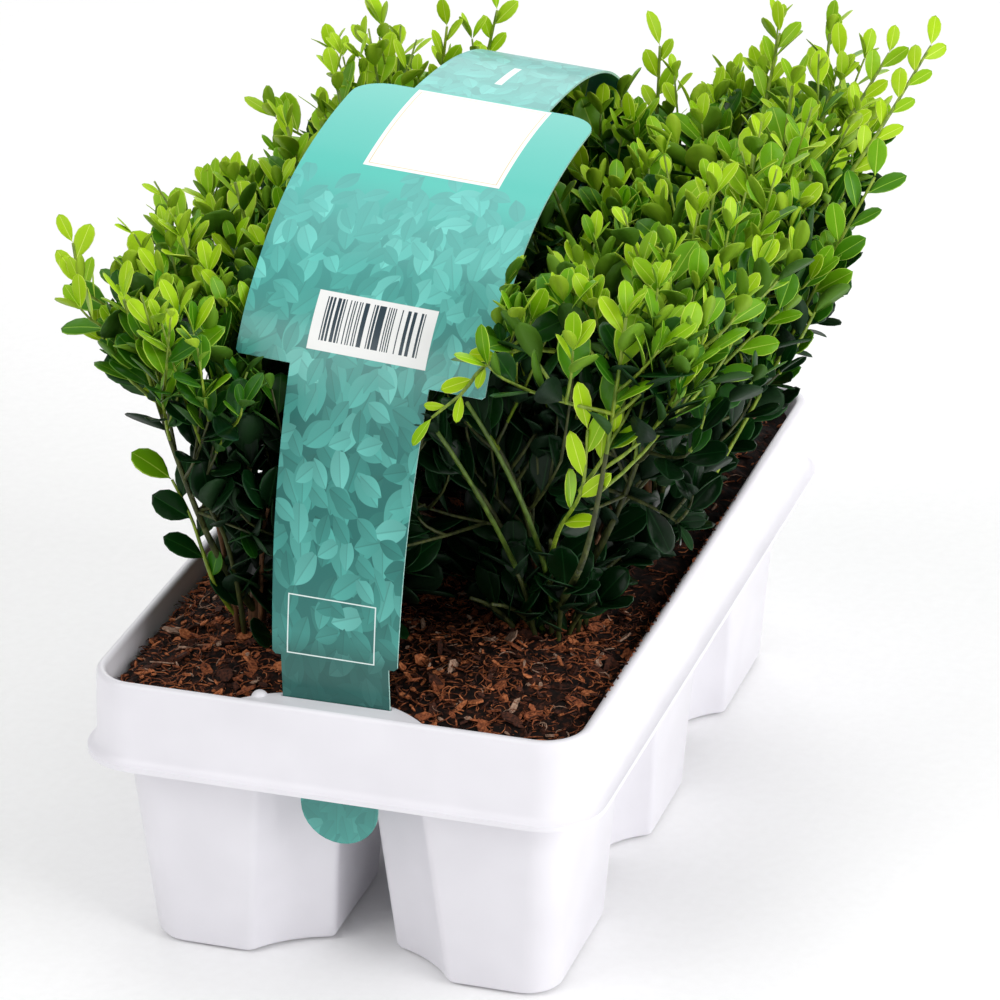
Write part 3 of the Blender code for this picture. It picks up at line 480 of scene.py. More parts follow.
def loft(name, loops, material):
    """A closed body through anticlockwise loops of equal length, from the lowest to the highest."""
    count = len(loops[0])
    points = [p for loop in loops for p in loop]
    faces = []
    for level in range(len(loops) - 1):
        for i in range(count):
            j = (i + 1) % count
            low, high = level * count, (level + 1) * count
            faces.append((low + i, low + j, high + j, high + i))
    faces.append(tuple(range(count))[::-1])
    faces.append(tuple(range(len(points) - count, len(points))))
    return mesh_piece(name, points, faces, [material])


def combine(piece, operation, others, solver="EXACT"):
    """Apply one Boolean over several bodies and remove them."""
    group = bpy.data.collections.new("bodies")
    bpy.context.scene.collection.children.link(group)
    for other in others:
        bpy.context.scene.collection.objects.unlink(other)
        group.objects.link(other)
    work_on(piece)
    step = piece.modifiers.new("combine", "BOOLEAN")
    step.operation = operation
    step.operand_type = "COLLECTION"
    step.collection = group
    step.solver = solver
    bpy.ops.object.modifier_apply(modifier=step.name)
    for other in others:
        bpy.data.objects.remove(other, do_unlink=True)
    bpy.data.collections.remove(group)
    return piece


def smooth_by_angle(piece, degrees):
    """Smooth shading that keeps edges sharper than the angle."""
    work_on(piece)
    bpy.ops.object.shade_smooth_by_angle(angle=math.radians(degrees))


# Tray

def outline(box, corners, z):
    """The plan of a cell or plug at one height; each corner is round or scooped."""
    x0, x1, y0, y1 = box
    turns = ((x0, y0, 1, 1), (x1, y0, -1, 1), (x1, y1, -1, -1), (x0, y1, 1, -1))
    loop = []
    for index, ((cx, cy, sx, sy), corner) in enumerate(zip(turns, corners)):
        points = []
        for step in range(CORNER_STEPS):
            t = step / (CORNER_STEPS - 1)
            if isinstance(corner, tuple):
                bow = SCOOP_BOW * 4 * t * (1 - t)
                lean = math.hypot(*corner)
                points.append((cx + sx * (corner[0] * (1 - t) + bow * corner[1] / lean),
                               cy + sy * (corner[1] * t + bow * corner[0] / lean), z))
            else:
                angle = math.pi / 2 * t
                points.append((cx + sx * corner * (1 - math.sin(angle)),
                               cy + sy * corner * (1 - math.cos(angle)), z))
        loop += points if index % 2 else points[::-1]
    sharp = [isinstance(corners[i // CORNER_STEPS], tuple) and i % CORNER_STEPS in (0, CORNER_STEPS - 1)
             for i in range(len(loop))]
    return soften(loop, sharp)


def soften(loop, sharp):
    """Round off the marked corners of a plan, as a mould has them."""
    rounded = []
    for i, point in enumerate(loop):
        if not sharp[i]:
            rounded.append(point)
            continue
        here = Vector(point)
        before, after = Vector(loop[i - 1]) - here, Vector(loop[(i + 1) % len(loop)]) - here
        start = here + before.normalized() * FACET_ROUNDING
        end = here + after.normalized() * FACET_ROUNDING
        for step in range(FACET_STEPS):
            t = step / (FACET_STEPS - 1)
            rounded.append(tuple(start * (1 - t) ** 2 + here * 2 * t * (1 - t) + end * t ** 2))
    return rounded


def cell_box(column, row, z):
    """The outer faces of one cell at a height, with their draft."""
    rise = z / WEB_TOP
    outer = OUTER_DRAFT * (1 - rise)
    inner = INNER_DRAFT * (1 - rise)
    length = (2 * CELL_REACH_Y - 2 * CELL_SPACING) / 3
    near, far = CELL_SPACING / 2 + inner, CELL_REACH_X - outer
    x0, x1 = (near, far) if column > 0 else (-far, -near)
    y0 = -CELL_REACH_Y + (row + 1) * (length + CELL_SPACING)
    return (x0, x1, y0 + (outer if row < 0 else inner), y0 + length - (outer if row > 0 else inner))


def cell_corners(column, row, inset=0.0):
    """Round at the tray's own corners and scooped everywhere else."""
    corners = []
    for sx, sy in ((-1, -1), (1, -1), (1, 1), (-1, 1)):
        if sx == column and sy == row:
            corners.append(CELL_CORNER - inset)
            continue
        scoop = MIDDLE_SCOOP
        if sx == column:
            scoop = SIDE_SCOOP
        elif sy == row:
            scoop = END_SCOOP
        keep = 1 + inset * (math.hypot(1 / scoop[0], 1 / scoop[1]) - 1 / scoop[0] - 1 / scoop[1])
        corners.append((scoop[0] * keep, scoop[1] * keep))
    return corners


def cell_body(column, row, inset, levels, material=WHITE):
    """One tapered cell, or the space inside it, through (height, tuck) levels."""
    loops = []
    for z, tuck in levels:
        x0, x1, y0, y1 = cell_box(column, row, z)
        d = inset + tuck
        loops.append(outline((x0 + d, x1 - d, y0 + d, y1 - d), cell_corners(column, row, inset), z))
    return loft("cell", loops, material)


def cell_space(column, row, gap, top, material=WHITE):
    """The room inside one cell, kept clear of its wall by a gap."""
    foot = CELL_FLOOR + gap
    levels = ((foot, FOOT_BEVEL), (foot + FOOT_BEVEL, 0.0), (top, 0.0))
    return cell_body(column, row, CELL_WALL + gap, levels, material)


def round_upright_edges(piece, radius, segments):
    """Bevel the edges that stand upright."""
    work_on(piece)
    bpy.ops.object.mode_set(mode="EDIT")
    bpy.ops.mesh.select_mode(type="EDGE")
    bpy.ops.mesh.select_all(action="DESELECT")
    edit = bmesh.from_edit_mesh(piece.data)
    for edge in edit.edges:
        a, b = (v.co for v in edge.verts)
        edge.select_set(abs(a.z - b.z) > 0.5 * MM)
    bmesh.update_edit_mesh(piece.data)
    bpy.ops.mesh.bevel(offset=radius, segments=segments, affect="EDGES")
    bpy.ops.object.mode_set(mode="OBJECT")


def select_level(piece, side):
    """Select only the flat face that looks up (1) or down (-1) and lies furthest that way."""
    bpy.ops.mesh.select_mode(type="FACE")
    bpy.ops.mesh.select_all(action="DESELECT")
    edit = bmesh.from_edit_mesh(piece.data)
    level = [f for f in edit.faces if f.normal.z * side > 0.99]
    best = max(level, key=lambda f: f.calc_center_median().z * side)
    best.select_set(True)
    bmesh.update_edit_mesh(piece.data)


def make_collar():
    """Collar, lip, flange and web: one block whose top and underside are inset step by step."""
    half_x, half_y = TRAY_WIDTH / 2, TRAY_LENGTH / 2
    collar = block(-half_x, half_x, -half_y, half_y, FLANGE_BOTTOM, FLANGE_TOP)
    collar.name = "tray"
    round_upright_edges(collar, TRAY_CORNER, 14)
    wall_inset = sum(inwards for inwards, _ in FLARE)
    wall_z = FLANGE_TOP + sum(upwards for _, upwards in FLARE)
    lip_z = TRAY_HEIGHT - LIP_RADIUS
    wall = (COLLAR_INSET - wall_inset, lip_z - wall_z)
    angles = np.linspace(0, math.pi, 9)
    lip = [(LIP_RADIUS * (math.cos(a) - math.cos(b)), LIP_RADIUS * (math.sin(b) - math.sin(a)))
           for a, b in zip(angles, angles[1:])]
    inner_inset = COLLAR_INSET + 2 * LIP_RADIUS
    basin = (BASIN_INSET - inner_inset - WEB_EDGE[0], WEB_TOP - lip_z + WEB_EDGE[1])
    bpy.ops.object.mode_set(mode="EDIT")
    for side, steps in ((1, (*FLARE, wall, *lip, basin, (WEB_EDGE[0], -WEB_EDGE[1]))), (-1, UNDERSIDE)):
        select_level(collar, side)
        for inwards, upwards in steps:
            bpy.ops.mesh.inset(thickness=inwards, depth=upwards)
    bpy.ops.object.mode_set(mode="OBJECT")
    collar.data.materials.append(WHITE)
    return collar


def seat_body(side):
    """The half-round seat that the strap stands in, with a rounded upper rim."""
    loops = []
    levels = [(WEB_TOP - SEAT_SINK, 0.0), (SEAT_TOP - SEAT_ROUNDING, 0.0)]
    for k in range(1, 6):
        angle = math.pi / 2 * k / 5
        tuck = SEAT_ROUNDING * (1 - math.cos(angle))
        levels.append((SEAT_TOP - SEAT_ROUNDING * (1 - math.sin(angle)), tuck))
    for z, tuck in levels:
        half = SEAT_HALF_WIDTH - tuck
        edge = []
        for i in range(SEAT_STEPS + 1):
            x = -half * math.cos(math.pi * i / SEAT_STEPS)
            swell = 1 - abs(x / half) ** SEAT_FULLNESS
            edge.append((x, side * (SEAT_OUTER_Y - SEAT_BACK - (SEAT_DEPTH - tuck) * swell), z))
        edge += [(half, side * SEAT_OUTER_Y, z), (-half, side * SEAT_OUTER_Y, z)]
        loops.append(edge[::side])
    return loft("seat", loops, WHITE)


def make_tray():
    """The whole moulded tray with its six cells and two seats."""
    tray = make_collar()
    walls, spaces = [], []
    outside = ((0.0, FOOT_BEVEL), (0.3 * FOOT_BEVEL, 0.3 * FOOT_BEVEL), (FOOT_BEVEL, 0.0),
               (WEB_TOP - 0.0004, 0.0))
    for column, row in CELLS:
        walls.append(cell_body(column, row, 0.0, outside))
        spaces.append(cell_space(column, row, 0.0, WEB_TOP + 0.004))
    combine(tray, "UNION", walls)
    combine(tray, "DIFFERENCE", spaces)
    combine(tray, "UNION", [seat_body(side) for side in (-1, 1)])
    knob = add_primitive(bpy.ops.mesh.primitive_uv_sphere_add, segments=20, ring_count=12,
                         radius=SEAT_KNOB_RADIUS,
                         location=(*SEAT_KNOB, SEAT_TOP - 0.55 * SEAT_KNOB_RADIUS))
    combine(tray, "UNION", [knob])
    slots = []
    half = STRAP_THICKNESS / 2 + GAP
    wide = NECK_HALF_WIDTH + 2 * GAP
    thin = TONGUE_RADIUS + 2 * GAP
    for side in (-1, 1):
        y0, y1 = sorted((side * STRAP_Y - half, side * STRAP_Y + half))
        slots.append(block(-wide, wide, y0, y1, SEAT_STEP, SLOT_TOP))
        slots.append(block(-thin, thin, y0, y1, SLOT_FOOT, SEAT_STEP + MM))
    combine(tray, "DIFFERENCE", slots)
    smooth_by_angle(tray, 32)
    return settle(tray, "tray_plastic", "tray")


# Strap

def smooth_path(points, spacing):
    """A Catmull-Rom curve through the points, sampled at an even spacing."""
    pts = [np.array(p, float) for p in points]
    pts = [2 * pts[0] - pts[1]] + pts + [2 * pts[-1] - pts[-2]]
    dense = []
    for a, b, c, d in zip(pts, pts[1:], pts[2:], pts[3:]):
        for t in np.linspace(0, 1, 24, endpoint=False):
            dense.append(0.5 * (2 * b + (c - a) * t + (2 * a - 5 * b + 4 * c - d) * t ** 2
                                + (3 * b - a - 3 * c + d) * t ** 3))
    dense.append(pts[-2])
    dense = np.array(dense)
    run = np.concatenate([[0], np.cumsum(np.linalg.norm(np.diff(dense, axis=0), axis=1))])
    even = np.linspace(0, run[-1], max(2, round(run[-1] / spacing) + 1))
    return np.stack([np.interp(even, run, dense[:, k]) for k in range(dense.shape[1])], 1), even


STRAP_LINE, STRAP_RUN = smooth_path(STRAP_CURVE, 0.0015)


def strap_marks():
    """Distances along the strap where its width changes."""
    y, z = STRAP_LINE[:, 0], STRAP_LINE[:, 1]
    front = y < 0
    return {
        "seat": STRAP_RUN[front & (z < SEAT_STEP + GAP)][-1],
        "band": STRAP_RUN[front & (z < BAND_FOOT_Z)][-1],
        "panel": STRAP_RUN[y < PANEL_START_Y][-1],
        "arch": STRAP_RUN[y < PANEL_END_Y][-1],
        "band back": STRAP_RUN[~front & (z > BAND_FOOT_Z)][-1],
        "seat back": STRAP_RUN[~front & (z > SEAT_STEP + GAP)][-1],
        "end": STRAP_RUN[-1],
    }


MARKS = strap_marks()


def strap_edge():
    """Right edge of the flat die-cut strap as (distance along, half-width) points."""
    seat, band, panel, arch, band_back, seat_back, end = MARKS.values()
    arc = np.linspace(0.0, math.pi / 2, 9)
    tongue = [(TONGUE_RADIUS * (1 - math.cos(a)), TONGUE_RADIUS * math.sin(a)) for a in arc]
    middle = PANEL_HALF_WIDTH - PANEL_CORNER
    corner = [(arch - PANEL_CORNER * (1 - math.sin(a)), middle + PANEL_CORNER * math.cos(a)) for a in arc]
    return [
        (0.0, 0.0), *tongue[1:],
        (seat, TONGUE_RADIUS), (seat, NECK_HALF_WIDTH),
        (band, NECK_HALF_WIDTH), (band, BAND_FOOT_HALF_WIDTH - CORNER_NICK),
        (band + CORNER_NICK, BAND_FOOT_HALF_WIDTH),
        (panel, BAND_TOP_HALF_WIDTH), (panel, PANEL_HALF_WIDTH - CORNER_NICK),
        (panel + CORNER_NICK, PANEL_HALF_WIDTH),
        *corner, (arch, ARCH_HALF_WIDTH),
        (band_back, BAND_FOOT_HALF_WIDTH), (band_back, NECK_HALF_WIDTH),
        (seat_back, NECK_HALF_WIDTH), (seat_back, TONGUE_RADIUS),
        *((end - along, width) for along, width in tongue[:0:-1]), (end, 0.0),
    ]


STRAP_EDGE = strap_edge()
STRAP_WIDTHS = np.interp(STRAP_RUN, *np.array(STRAP_EDGE).T)


def strap_tilt(z):
    """The strip leans down to the right where it lies on the crowns."""
    return STRAP_TILT * np.clip((z - TRAY_HEIGHT) / TILT_HEIGHT, 0.0, 1.0)


def lay_motifs(tree, flat, v, under, spacing, shift, dark, middle, light):
    """One layer of leaf motifs: each of its cells holds one leaf, turned and toned at random."""
    tall = MOTIF_SLENDER / spacing
    moved = add_node(tree, "Mapping", {"Vector": flat, "Location": (shift, shift * MOTIF_SKEW, 0.0),
                                       "Scale": (1 / spacing, tall, 1.0)})
    centre = add_node(tree, "TexVoronoi", {"Vector": moved, "Scale": 1.0, "Randomness": 0.8},
                      out="Position", voronoi_dimensions="2D")
    dice = add_node(tree, "SeparateColor", {"Color": centre.node.outputs["Color"]}).node.outputs
    # The place in the leaf: along it from its stalk to its tip and across it from its rib
    local = add_node(tree, "VectorMath", {0: moved, 1: centre}, operation="SUBTRACT")
    angle = add_node(tree, "MapRange", {"Value": dice[0], "To Min": 0.3, "To Max": 2.9})
    turned = add_node(tree, "VectorRotate", {"Vector": local, "Angle": angle}, rotation_type="Z_AXIS")
    x, y, _ = add_node(tree, "SeparateXYZ", {"Vector": turned}).node.outputs
    along = add_node(tree, "Math", {0: x, 1: MOTIF_STALK}, operation="ADD")
    across = add_node(tree, "Math", {0: y}, operation="ABSOLUTE")
    square = add_node(tree, "Math", {0: along, 1: along}, operation="MULTIPLY")
    width = add_node(tree, "Math", {0: square, 1: MOTIF_TAPER, 2: MOTIF_HALF_WIDTH}, operation="MULTIPLY_ADD")
    inside = add_node(tree, "Math", {0: width, 1: across}, operation="SUBTRACT")
    blade = add_node(tree, "MapRange", {"Value": inside, "From Min": 0.0, "From Max": 0.014})
    # Leaves are left out of the plain top of the panel
    place = add_node(tree, "SeparateXYZ", {"Vector": centre}).node.outputs
    limit = add_node(tree, "Math", {0: dice[2], 1: MOTIF_END_SPREAD * tall,
                                    2: MOTIF_END * tall + shift * MOTIF_SKEW}, operation="MULTIPLY_ADD")
    below = add_node(tree, "Math", {0: place[1], 1: limit}, operation="LESS_THAN")
    above = add_node(tree, "Math", {0: v, 1: MOTIF_RESTART}, operation="GREATER_THAN")
    kept = add_node(tree, "Math", {0: below, 1: above}, operation="MAXIMUM")
    mask = add_node(tree, "Math", {0: blade, 1: kept}, operation="MULTIPLY")
    # Its tone, darker in one half, towards the stalk and on the rib
    tone = add_node(tree, "ValToRGB", {"Fac": dice[1]}, stops=((0.15, dark), (0.55, middle), (0.9, light)))
    shade = add_node(tree, "MapRange", {"Value": y, "From Min": -0.02, "From Max": 0.02,
                                        "To Min": 0.84, "To Max": 1.0})
    for value, start, end, low, high in ((along, -0.4, 0.4, 0.80, 1.06), (across, 0.008, 0.022, 0.75, 1.0)):
        part = add_node(tree, "MapRange", {"Value": value, "From Min": start, "From Max": end,
                                           "To Min": low, "To Max": high})
        shade = add_node(tree, "Math", {0: shade, 1: part}, operation="MULTIPLY")
    leaf = add_node(tree, "Mix", {0: 1.0, 6: tone, 7: shade}, out=2, data_type="RGBA", blend_type="MULTIPLY")
    return add_node(tree, "Mix", {0: mask, 6: under, 7: leaf}, out=2, data_type="RGBA")


def inside_box(tree, u, v, box, soft, share=1.0):
    """The share of ink in a printed box, given by its left, right, low and high edge."""
    left, right, low, high = box
    gaps = []
    for value, start, end in ((u, left, right), (v, low, high)):
        off = add_node(tree, "Math", {0: value, 1: (start + end) / 2}, operation="SUBTRACT")
        size = add_node(tree, "Math", {0: off}, operation="ABSOLUTE")
        gaps.append(add_node(tree, "Math", {0: (end - start) / 2, 1: size}, operation="SUBTRACT"))
    least = add_node(tree, "Math", dict(enumerate(gaps)), operation="MINIMUM")
    return add_node(tree, "MapRange", {"Value": least, "From Min": -soft, "From Max": soft, "To Max": share})


def printed_film():
    """Printed polypropylene film: teal leaf motifs, bare white panels and painted shade over the neck, under
    a clear varnish.
    """
    material, tree, shader = new_material("printed_teal_polypropylene_film", Roughness=0.36, IOR=1.49,
                                          Coat_Weight=0.16, Coat_Roughness=0.12)
    flat = add_node(tree, "UVMap", uv_map="print")
    flat = add_node(tree, "VectorMath", {0: flat, 1: (1000.0, 1000.0, 1.0)}, operation="MULTIPLY")
    u, v, _ = add_node(tree, "SeparateXYZ", {"Vector": flat}).node.outputs
    starts = add_node(tree, "MapRange", {"Value": v, "From Min": 216.0, "From Max": 240.0})
    ends = add_node(tree, "MapRange", {"Value": v, "From Min": 306.0, "From Max": 304.0})
    plain = add_node(tree, "Math", {0: starts, 1: ends}, operation="MINIMUM")
    dark, bright = (linear(colour) for colour in PLAIN_COLOURS)
    colour = add_node(tree, "Mix", {0: plain, 6: dark, 7: bright}, out=2, data_type="RGBA")
    for layer in MOTIF_LAYERS:
        colour = lay_motifs(tree, flat, v, colour, *layer)
    tints = []
    # Washes: darker towards the strap's foot, paler towards the panel's plain top
    for start, end, first, last, tint in STRAP_WASHES:
        fade = add_node(tree, "MapRange", {"Value": v, "From Min": start, "From Max": end,
                                           "To Min": first, "To Max": last})
        tints.append((fade, tint))
    # Printed boxes, the first of which is painted shade over the strap's neck
    for left, right, low, high, soft, line, share, tint in PRINT_AND_SHADE_BOXES:
        mask = inside_box(tree, u, v, (left, right, low, high), soft, share)
        if line:
            hole = inside_box(tree, u, v, (left + line, right - line, low + line, high - line), soft)
            mask = add_node(tree, "Math", {0: mask, 1: hole}, operation="SUBTRACT")
        tints.append((mask, tint))
    step = add_node(tree, "Math", {0: u, 1: BARS_PER_MM}, operation="MULTIPLY")
    whole = add_node(tree, "Math", {0: step}, operation="FLOOR")
    dice = add_node(tree, "TexWhiteNoise", {"W": whole}, out="Value", noise_dimensions="1D")
    printed = add_node(tree, "Math", {0: dice, 1: 0.50}, operation="GREATER_THAN")
    panel = inside_box(tree, u, v, BAR_BOX, PRINT_EDGE)
    bars = add_node(tree, "Math", {0: printed, 1: panel}, operation="MULTIPLY")
    for mask, tint in (*tints, (bars, BAR_COLOUR)):
        colour = add_node(tree, "Mix", {0: mask, 6: colour, 7: linear(tint)}, out=2, data_type="RGBA")
    tree.links.new(colour, shader.inputs["Base Color"])
    return material


def make_strap():
    """A flat die-cut strip, crossed by bend lines, laid along the strap's curve and given its thickness."""
    points = [(w, s, 0.0) for s, w in STRAP_EDGE] + [(-w, s, 0.0) for s, w in STRAP_EDGE[-2:0:-1]]
    strap = mesh_piece("strap", points, [tuple(range(len(points)))], [printed_film(), CUT_EDGE, FILM_BACK])
    work_on(strap)
    bpy.ops.object.mode_set(mode="EDIT")
    cuts = [((0, place, 0), (0, 1, 0)) for place in np.arange(0.003, MARKS["end"], BEND_SPACING)]
    cuts += [((place, 0, 0), (1, 0, 0)) for place in FOLD_LINES]
    for place, direction in cuts:
        bpy.ops.mesh.select_all(action="SELECT")
        bpy.ops.mesh.bisect(plane_co=place, plane_no=direction)
    bpy.ops.object.mode_set(mode="OBJECT")
    mesh = strap.data
    flat = np.array([v.co for v in mesh.vertices])
    layer = mesh.uv_layers.new(name="print")
    for loop in mesh.loops:
        layer.data[loop.index].uv = flat[loop.vertex_index][:2]
    y = np.interp(flat[:, 1], STRAP_RUN, STRAP_LINE[:, 0])
    z = np.interp(flat[:, 1], STRAP_RUN, STRAP_LINE[:, 1])
    z = z - strap_tilt(z) * flat[:, 0]
    for vertex, place in zip(mesh.vertices, np.stack([flat[:, 0], y, z], 1)):
        vertex.co = place
    mesh.update()
    wall = strap.modifiers.new("film", "SOLIDIFY")
    wall.thickness = STRAP_THICKNESS
    wall.offset = 0.0
    wall.material_offset_rim = 1
    wall.material_offset = 2
    bpy.ops.object.modifier_apply(modifier=wall.name)
    smooth_by_angle(strap, 30)
    return settle(strap, "strap_print", "strap")


# Compost

def basin_point(s, t):
    """A place in the basin from square coordinates of -1 to 1, following its rounded corners."""
    half_x = TRAY_WIDTH / 2 - BASIN_INSET - GAP
    half_y = TRAY_LENGTH / 2 - BASIN_INSET - GAP
    ring = max(abs(s), abs(t))
    radius = BASIN_CORNER * ring
    x, y = abs(s) * half_x, abs(t) * half_y
    cx, cy = ring * half_x - radius, ring * half_y - radius
    if ring > 0 and x > cx and y > cy:
        size = math.hypot(x - cx, y - cy)
        x, y = cx + (x - cx) / size * radius, cy + (y - cy) / size * radius
    return math.copysign(x, s), math.copysign(y, t)


def in_seat(x, y, grow):
    """Whether a place lies under one of the strap's seats."""
    half = SEAT_HALF_WIDTH + grow
    if abs(x) > half:
        return False
    swell = 1 - abs(x / half) ** SEAT_FULLNESS
    return abs(y) > SEAT_OUTER_Y - SEAT_BACK - grow - SEAT_DEPTH * swell


def compost_height(x, y):
    """Height of the compost: a mound in each cell, clods and fine grain, lower along the walls."""
    half_x = TRAY_WIDTH / 2 - BASIN_INSET
    half_y = TRAY_LENGTH / 2 - BASIN_INSET
    third = 2 * half_y / 3
    column = 1 if x > 0 else -1
    row = min(1, max(-1, round(y / third)))
    off_x = (x - column * half_x / 2) / (half_x / 2)
    off_y = (y - row * third) / (third / 2)
    mound = FRONT_RIGHT_MOUND if (column, row) == (1, -1) else COMPOST_MOUND
    for off in (off_x, off_y):
        mound *= max(0.0, math.cos(off * math.pi / 2)) ** MOUND_FULLNESS
    clods = sum(height * noise.noise(Vector((x, y, level)) * scale)
                for height, level, scale in COMPOST_RELIEF)
    wall = min(half_x - abs(x), half_y - abs(y))
    return COMPOST_EDGE + mound + clods - WALL_DIP[0] * max(0.0, 1 - wall / WALL_DIP[1])


def make_compost():
    """One bed over all the cells with a plug down into each."""
    bed = add_primitive(bpy.ops.mesh.primitive_grid_add, x_subdivisions=COMPOST_GRID[0],
                        y_subdivisions=COMPOST_GRID[1], size=2.0, location=(0, 0, 0))
    bed.name = "compost"
    for vertex in bed.data.vertices:
        x, y = basin_point(vertex.co.x, vertex.co.y)
        vertex.co = (x, y, compost_height(x, y))
    top = len(bed.data.vertices)
    bpy.ops.object.mode_set(mode="EDIT")
    bpy.ops.mesh.select_all(action="SELECT")
    bpy.ops.mesh.extrude_region()
    bpy.ops.object.mode_set(mode="OBJECT")
    for vertex in bed.data.vertices[:top]:
        vertex.co.z = WEB_TOP + GAP
    fix_normals(bed)
    bed.data.materials.append(COMPOST)
    plugs = [cell_space(column, row, GAP, WEB_TOP + 3 * GAP, COMPOST) for column, row in CELLS]
    combine(bed, "UNION", plugs, "MANIFOLD")
    smooth_by_angle(bed, 60)
    return settle(bed, "compost", *(f"compost_{cell}" for cell in range(1, 7)))


def random_turn(rng):
    """A random unit direction in the plan."""
    angle = rng.uniform(0, 2 * math.pi)
    return Vector((math.cos(angle), math.sin(angle), 0))


def litter_place(rng):
    """A random place on the compost, more often in the front cells, which show most."""
    while True:
        s = rng.uniform(-LITTER_SPREAD, LITTER_SPREAD)
        t = rng.uniform(-LITTER_SPREAD, LITTER_SPREAD if rng.random() < LITTER_ANYWHERE else LITTER_FRONT)
        x, y = basin_point(s, t)
        if not in_seat(x, y, SEAT_MARGIN):
            return Vector((x, y, compost_height(x, y)))


def rim_place(rng):
    """A random place on the inner half of the right rim's rounded lip."""
    crest = TRAY_WIDTH / 2 - COLLAR_INSET - LIP_RADIUS
    off = LIP_RADIUS * rng.uniform(0.15, 0.98)
    return Vector((crest - off, rng.uniform(*RIM_CRUMB_RUN),
                   TRAY_HEIGHT - LIP_RADIUS + math.sqrt(LIP_RADIUS ** 2 - off ** 2) + GAP))


def make_fibres(rng):
    """Curved fibres that lie crossed on the compost."""
    tubes = Tubes(LITTER)
    for _ in range(FIBRES):
        place = litter_place(rng) + UP * rng.uniform(-0.0006, 0.0012)
        turn = random_turn(rng)
        across = (turn.cross(UP) + UP * rng.uniform(-1.1, 1.1)).normalized()
        bow = rng.uniform(*FIBRE_BOW)
        sweep = rng.uniform(*FIBRE_SWEEP)
        middle = math.cos(sweep / 3)
        path = [place + turn * math.sin(a) * bow + across * (math.cos(a) - middle) * bow
                for a in np.linspace(-sweep / 2, sweep / 2, 6)]
        radius = rng.uniform(*FIBRE_RADIUS)
        tubes.add(path, FIBRE_TAPER * radius, rng.choices(range(4), FIBRE_KINDS)[0])
    settle(tubes.build("compost_fibres", 3), "compost", "compost_1")


def make_chips(rng):
    """Flat chips of bark and a few dry leaves on the compost, and crumbs on the rim."""
    points, faces, kinds = [], [], []
    for chip in range(CHIPS + RIM_CRUMBS):
        place = litter_place(rng)
        turn = (random_turn(rng) + UP * rng.uniform(-0.7, 0.7)).normalized()
        normal = (UP + random_turn(rng) * rng.uniform(0, 1.2)).normalized()
        across = turn.cross(normal).normalized()
        up = across.cross(turn).normalized()
        length = rng.uniform(*CHIP_LENGTHS[rng.random() >= SMALL_CHIP_SHARE])
        width = length * rng.uniform(*CHIP_WIDTH_SHARE)
        thick = rng.uniform(*CHIP_THICKNESS)
        base = place + Vector((0, 0, rng.uniform(0.0, 0.0014)))
        kind = rng.choices(range(4), CHIP_KINDS)[0]
        if chip < len(DRY_LEAVES):
            base = Vector((*DRY_LEAVES[chip], compost_height(*DRY_LEAVES[chip]) + DRY_LEAF_LIFT))
            length, width, kind = *DRY_LEAF_SIZE, 3
        elif chip >= CHIPS:
            base = rim_place(rng)
            length, width, kind = rng.uniform(*CRUMB_LENGTH), CRUMB_WIDTH, rng.choice((0, 1))
        first = len(points)
        rim = []
        for k in range(CHIP_SIDES):
            angle = 2 * math.pi * k / CHIP_SIDES
            reach_out = rng.uniform(0.75, 1.1)
            rim.append(base + turn * math.cos(angle) * length / 2 * reach_out
                       + across * math.sin(angle) * width / 2 * reach_out)
        points += [p - up * thick / 2 for p in rim] + [p + up * thick / 2 for p in rim]
        low = [first + k for k in range(CHIP_SIDES)]
        high = [k + CHIP_SIDES for k in low]
        faces += [tuple(low), tuple(high[::-1])]
        for k in range(CHIP_SIDES):
            j = (k + 1) % CHIP_SIDES
            faces.append((low[j], low[k], high[k], high[j]))
        kinds += [kind] * (CHIP_SIDES + 2)
    chips = mesh_piece("compost_chips", points, faces, LITTER, kinds, smooth=False)
    fix_normals(chips)
    settle(chips, "compost", "compost_1")


# Limbs

class Tubes:
    """Many tapering limbs that become one mesh, each with its own finish."""

    def __init__(self, materials):
        self.materials = materials
        self.limbs = []

    def add(self, path, radii, kind=0):
        self.limbs.append((np.asarray(path, float), np.asarray(radii, float), kind))

    def build(self, name, sides, relief=0.0):
        """Join all limbs, each closed by a flat cap at its foot and at its tip, as one mesh."""
        points, faces, kinds = [], [], []
        for path, radii, kind in self.limbs:
            first = len(points)
            for k, (centre, radius, (side, across)) in enumerate(zip(path, radii, frame_along(path))):
                for j in range(sides):
                    angle = 2 * math.pi * j / sides
                    lump = 1.0
                    if relief:
                        lump += relief * noise.noise(Vector(centre) * 420 + Vector((j * 1.7, 0, 0)))
                    spoke = side * math.cos(angle) + across * math.sin(angle)
                    points.append(Vector(centre) + spoke * radius * lump)
            for k in range(len(path) - 1):
                for j in range(sides):
                    a, b = first + k * sides + j, first + k * sides + (j + 1) % sides
                    faces.append((a, b, b + sides, a + sides))
            faces.append(tuple(first + j for j in range(sides))[::-1])
            faces.append(tuple(first + (len(path) - 1) * sides + j for j in range(sides)))
            kinds += [kind] * ((len(path) - 1) * sides + 2)
        return mesh_piece(name, points, faces, self.materials, kinds)


def frame_along(points):
    """Two cross directions at each point of a path, carried along without twist."""
    points = [Vector(p) for p in points]
    tangents = []
    for i in range(len(points)):
        a = points[max(i - 1, 0)]
        b = points[min(i + 1, len(points) - 1)]
        tangents.append((b - a).normalized())
    side = tangents[0].orthogonal().normalized()
    frames = []
    for tangent in tangents:
        side = (side - tangent * side.dot(tangent)).normalized()
        frames.append((side, tangent.cross(side)))
    return frames


def bend(start, middle, end, count):
    """A quadratic curve from start to end that leans towards middle."""
    start, middle, end = (np.array(p, float) for p in (start, middle, end))
    ts = np.linspace(0, 1, count)[:, None]
    return (1 - ts) ** 2 * start + 2 * ts * (1 - ts) * middle + ts ** 2 * end


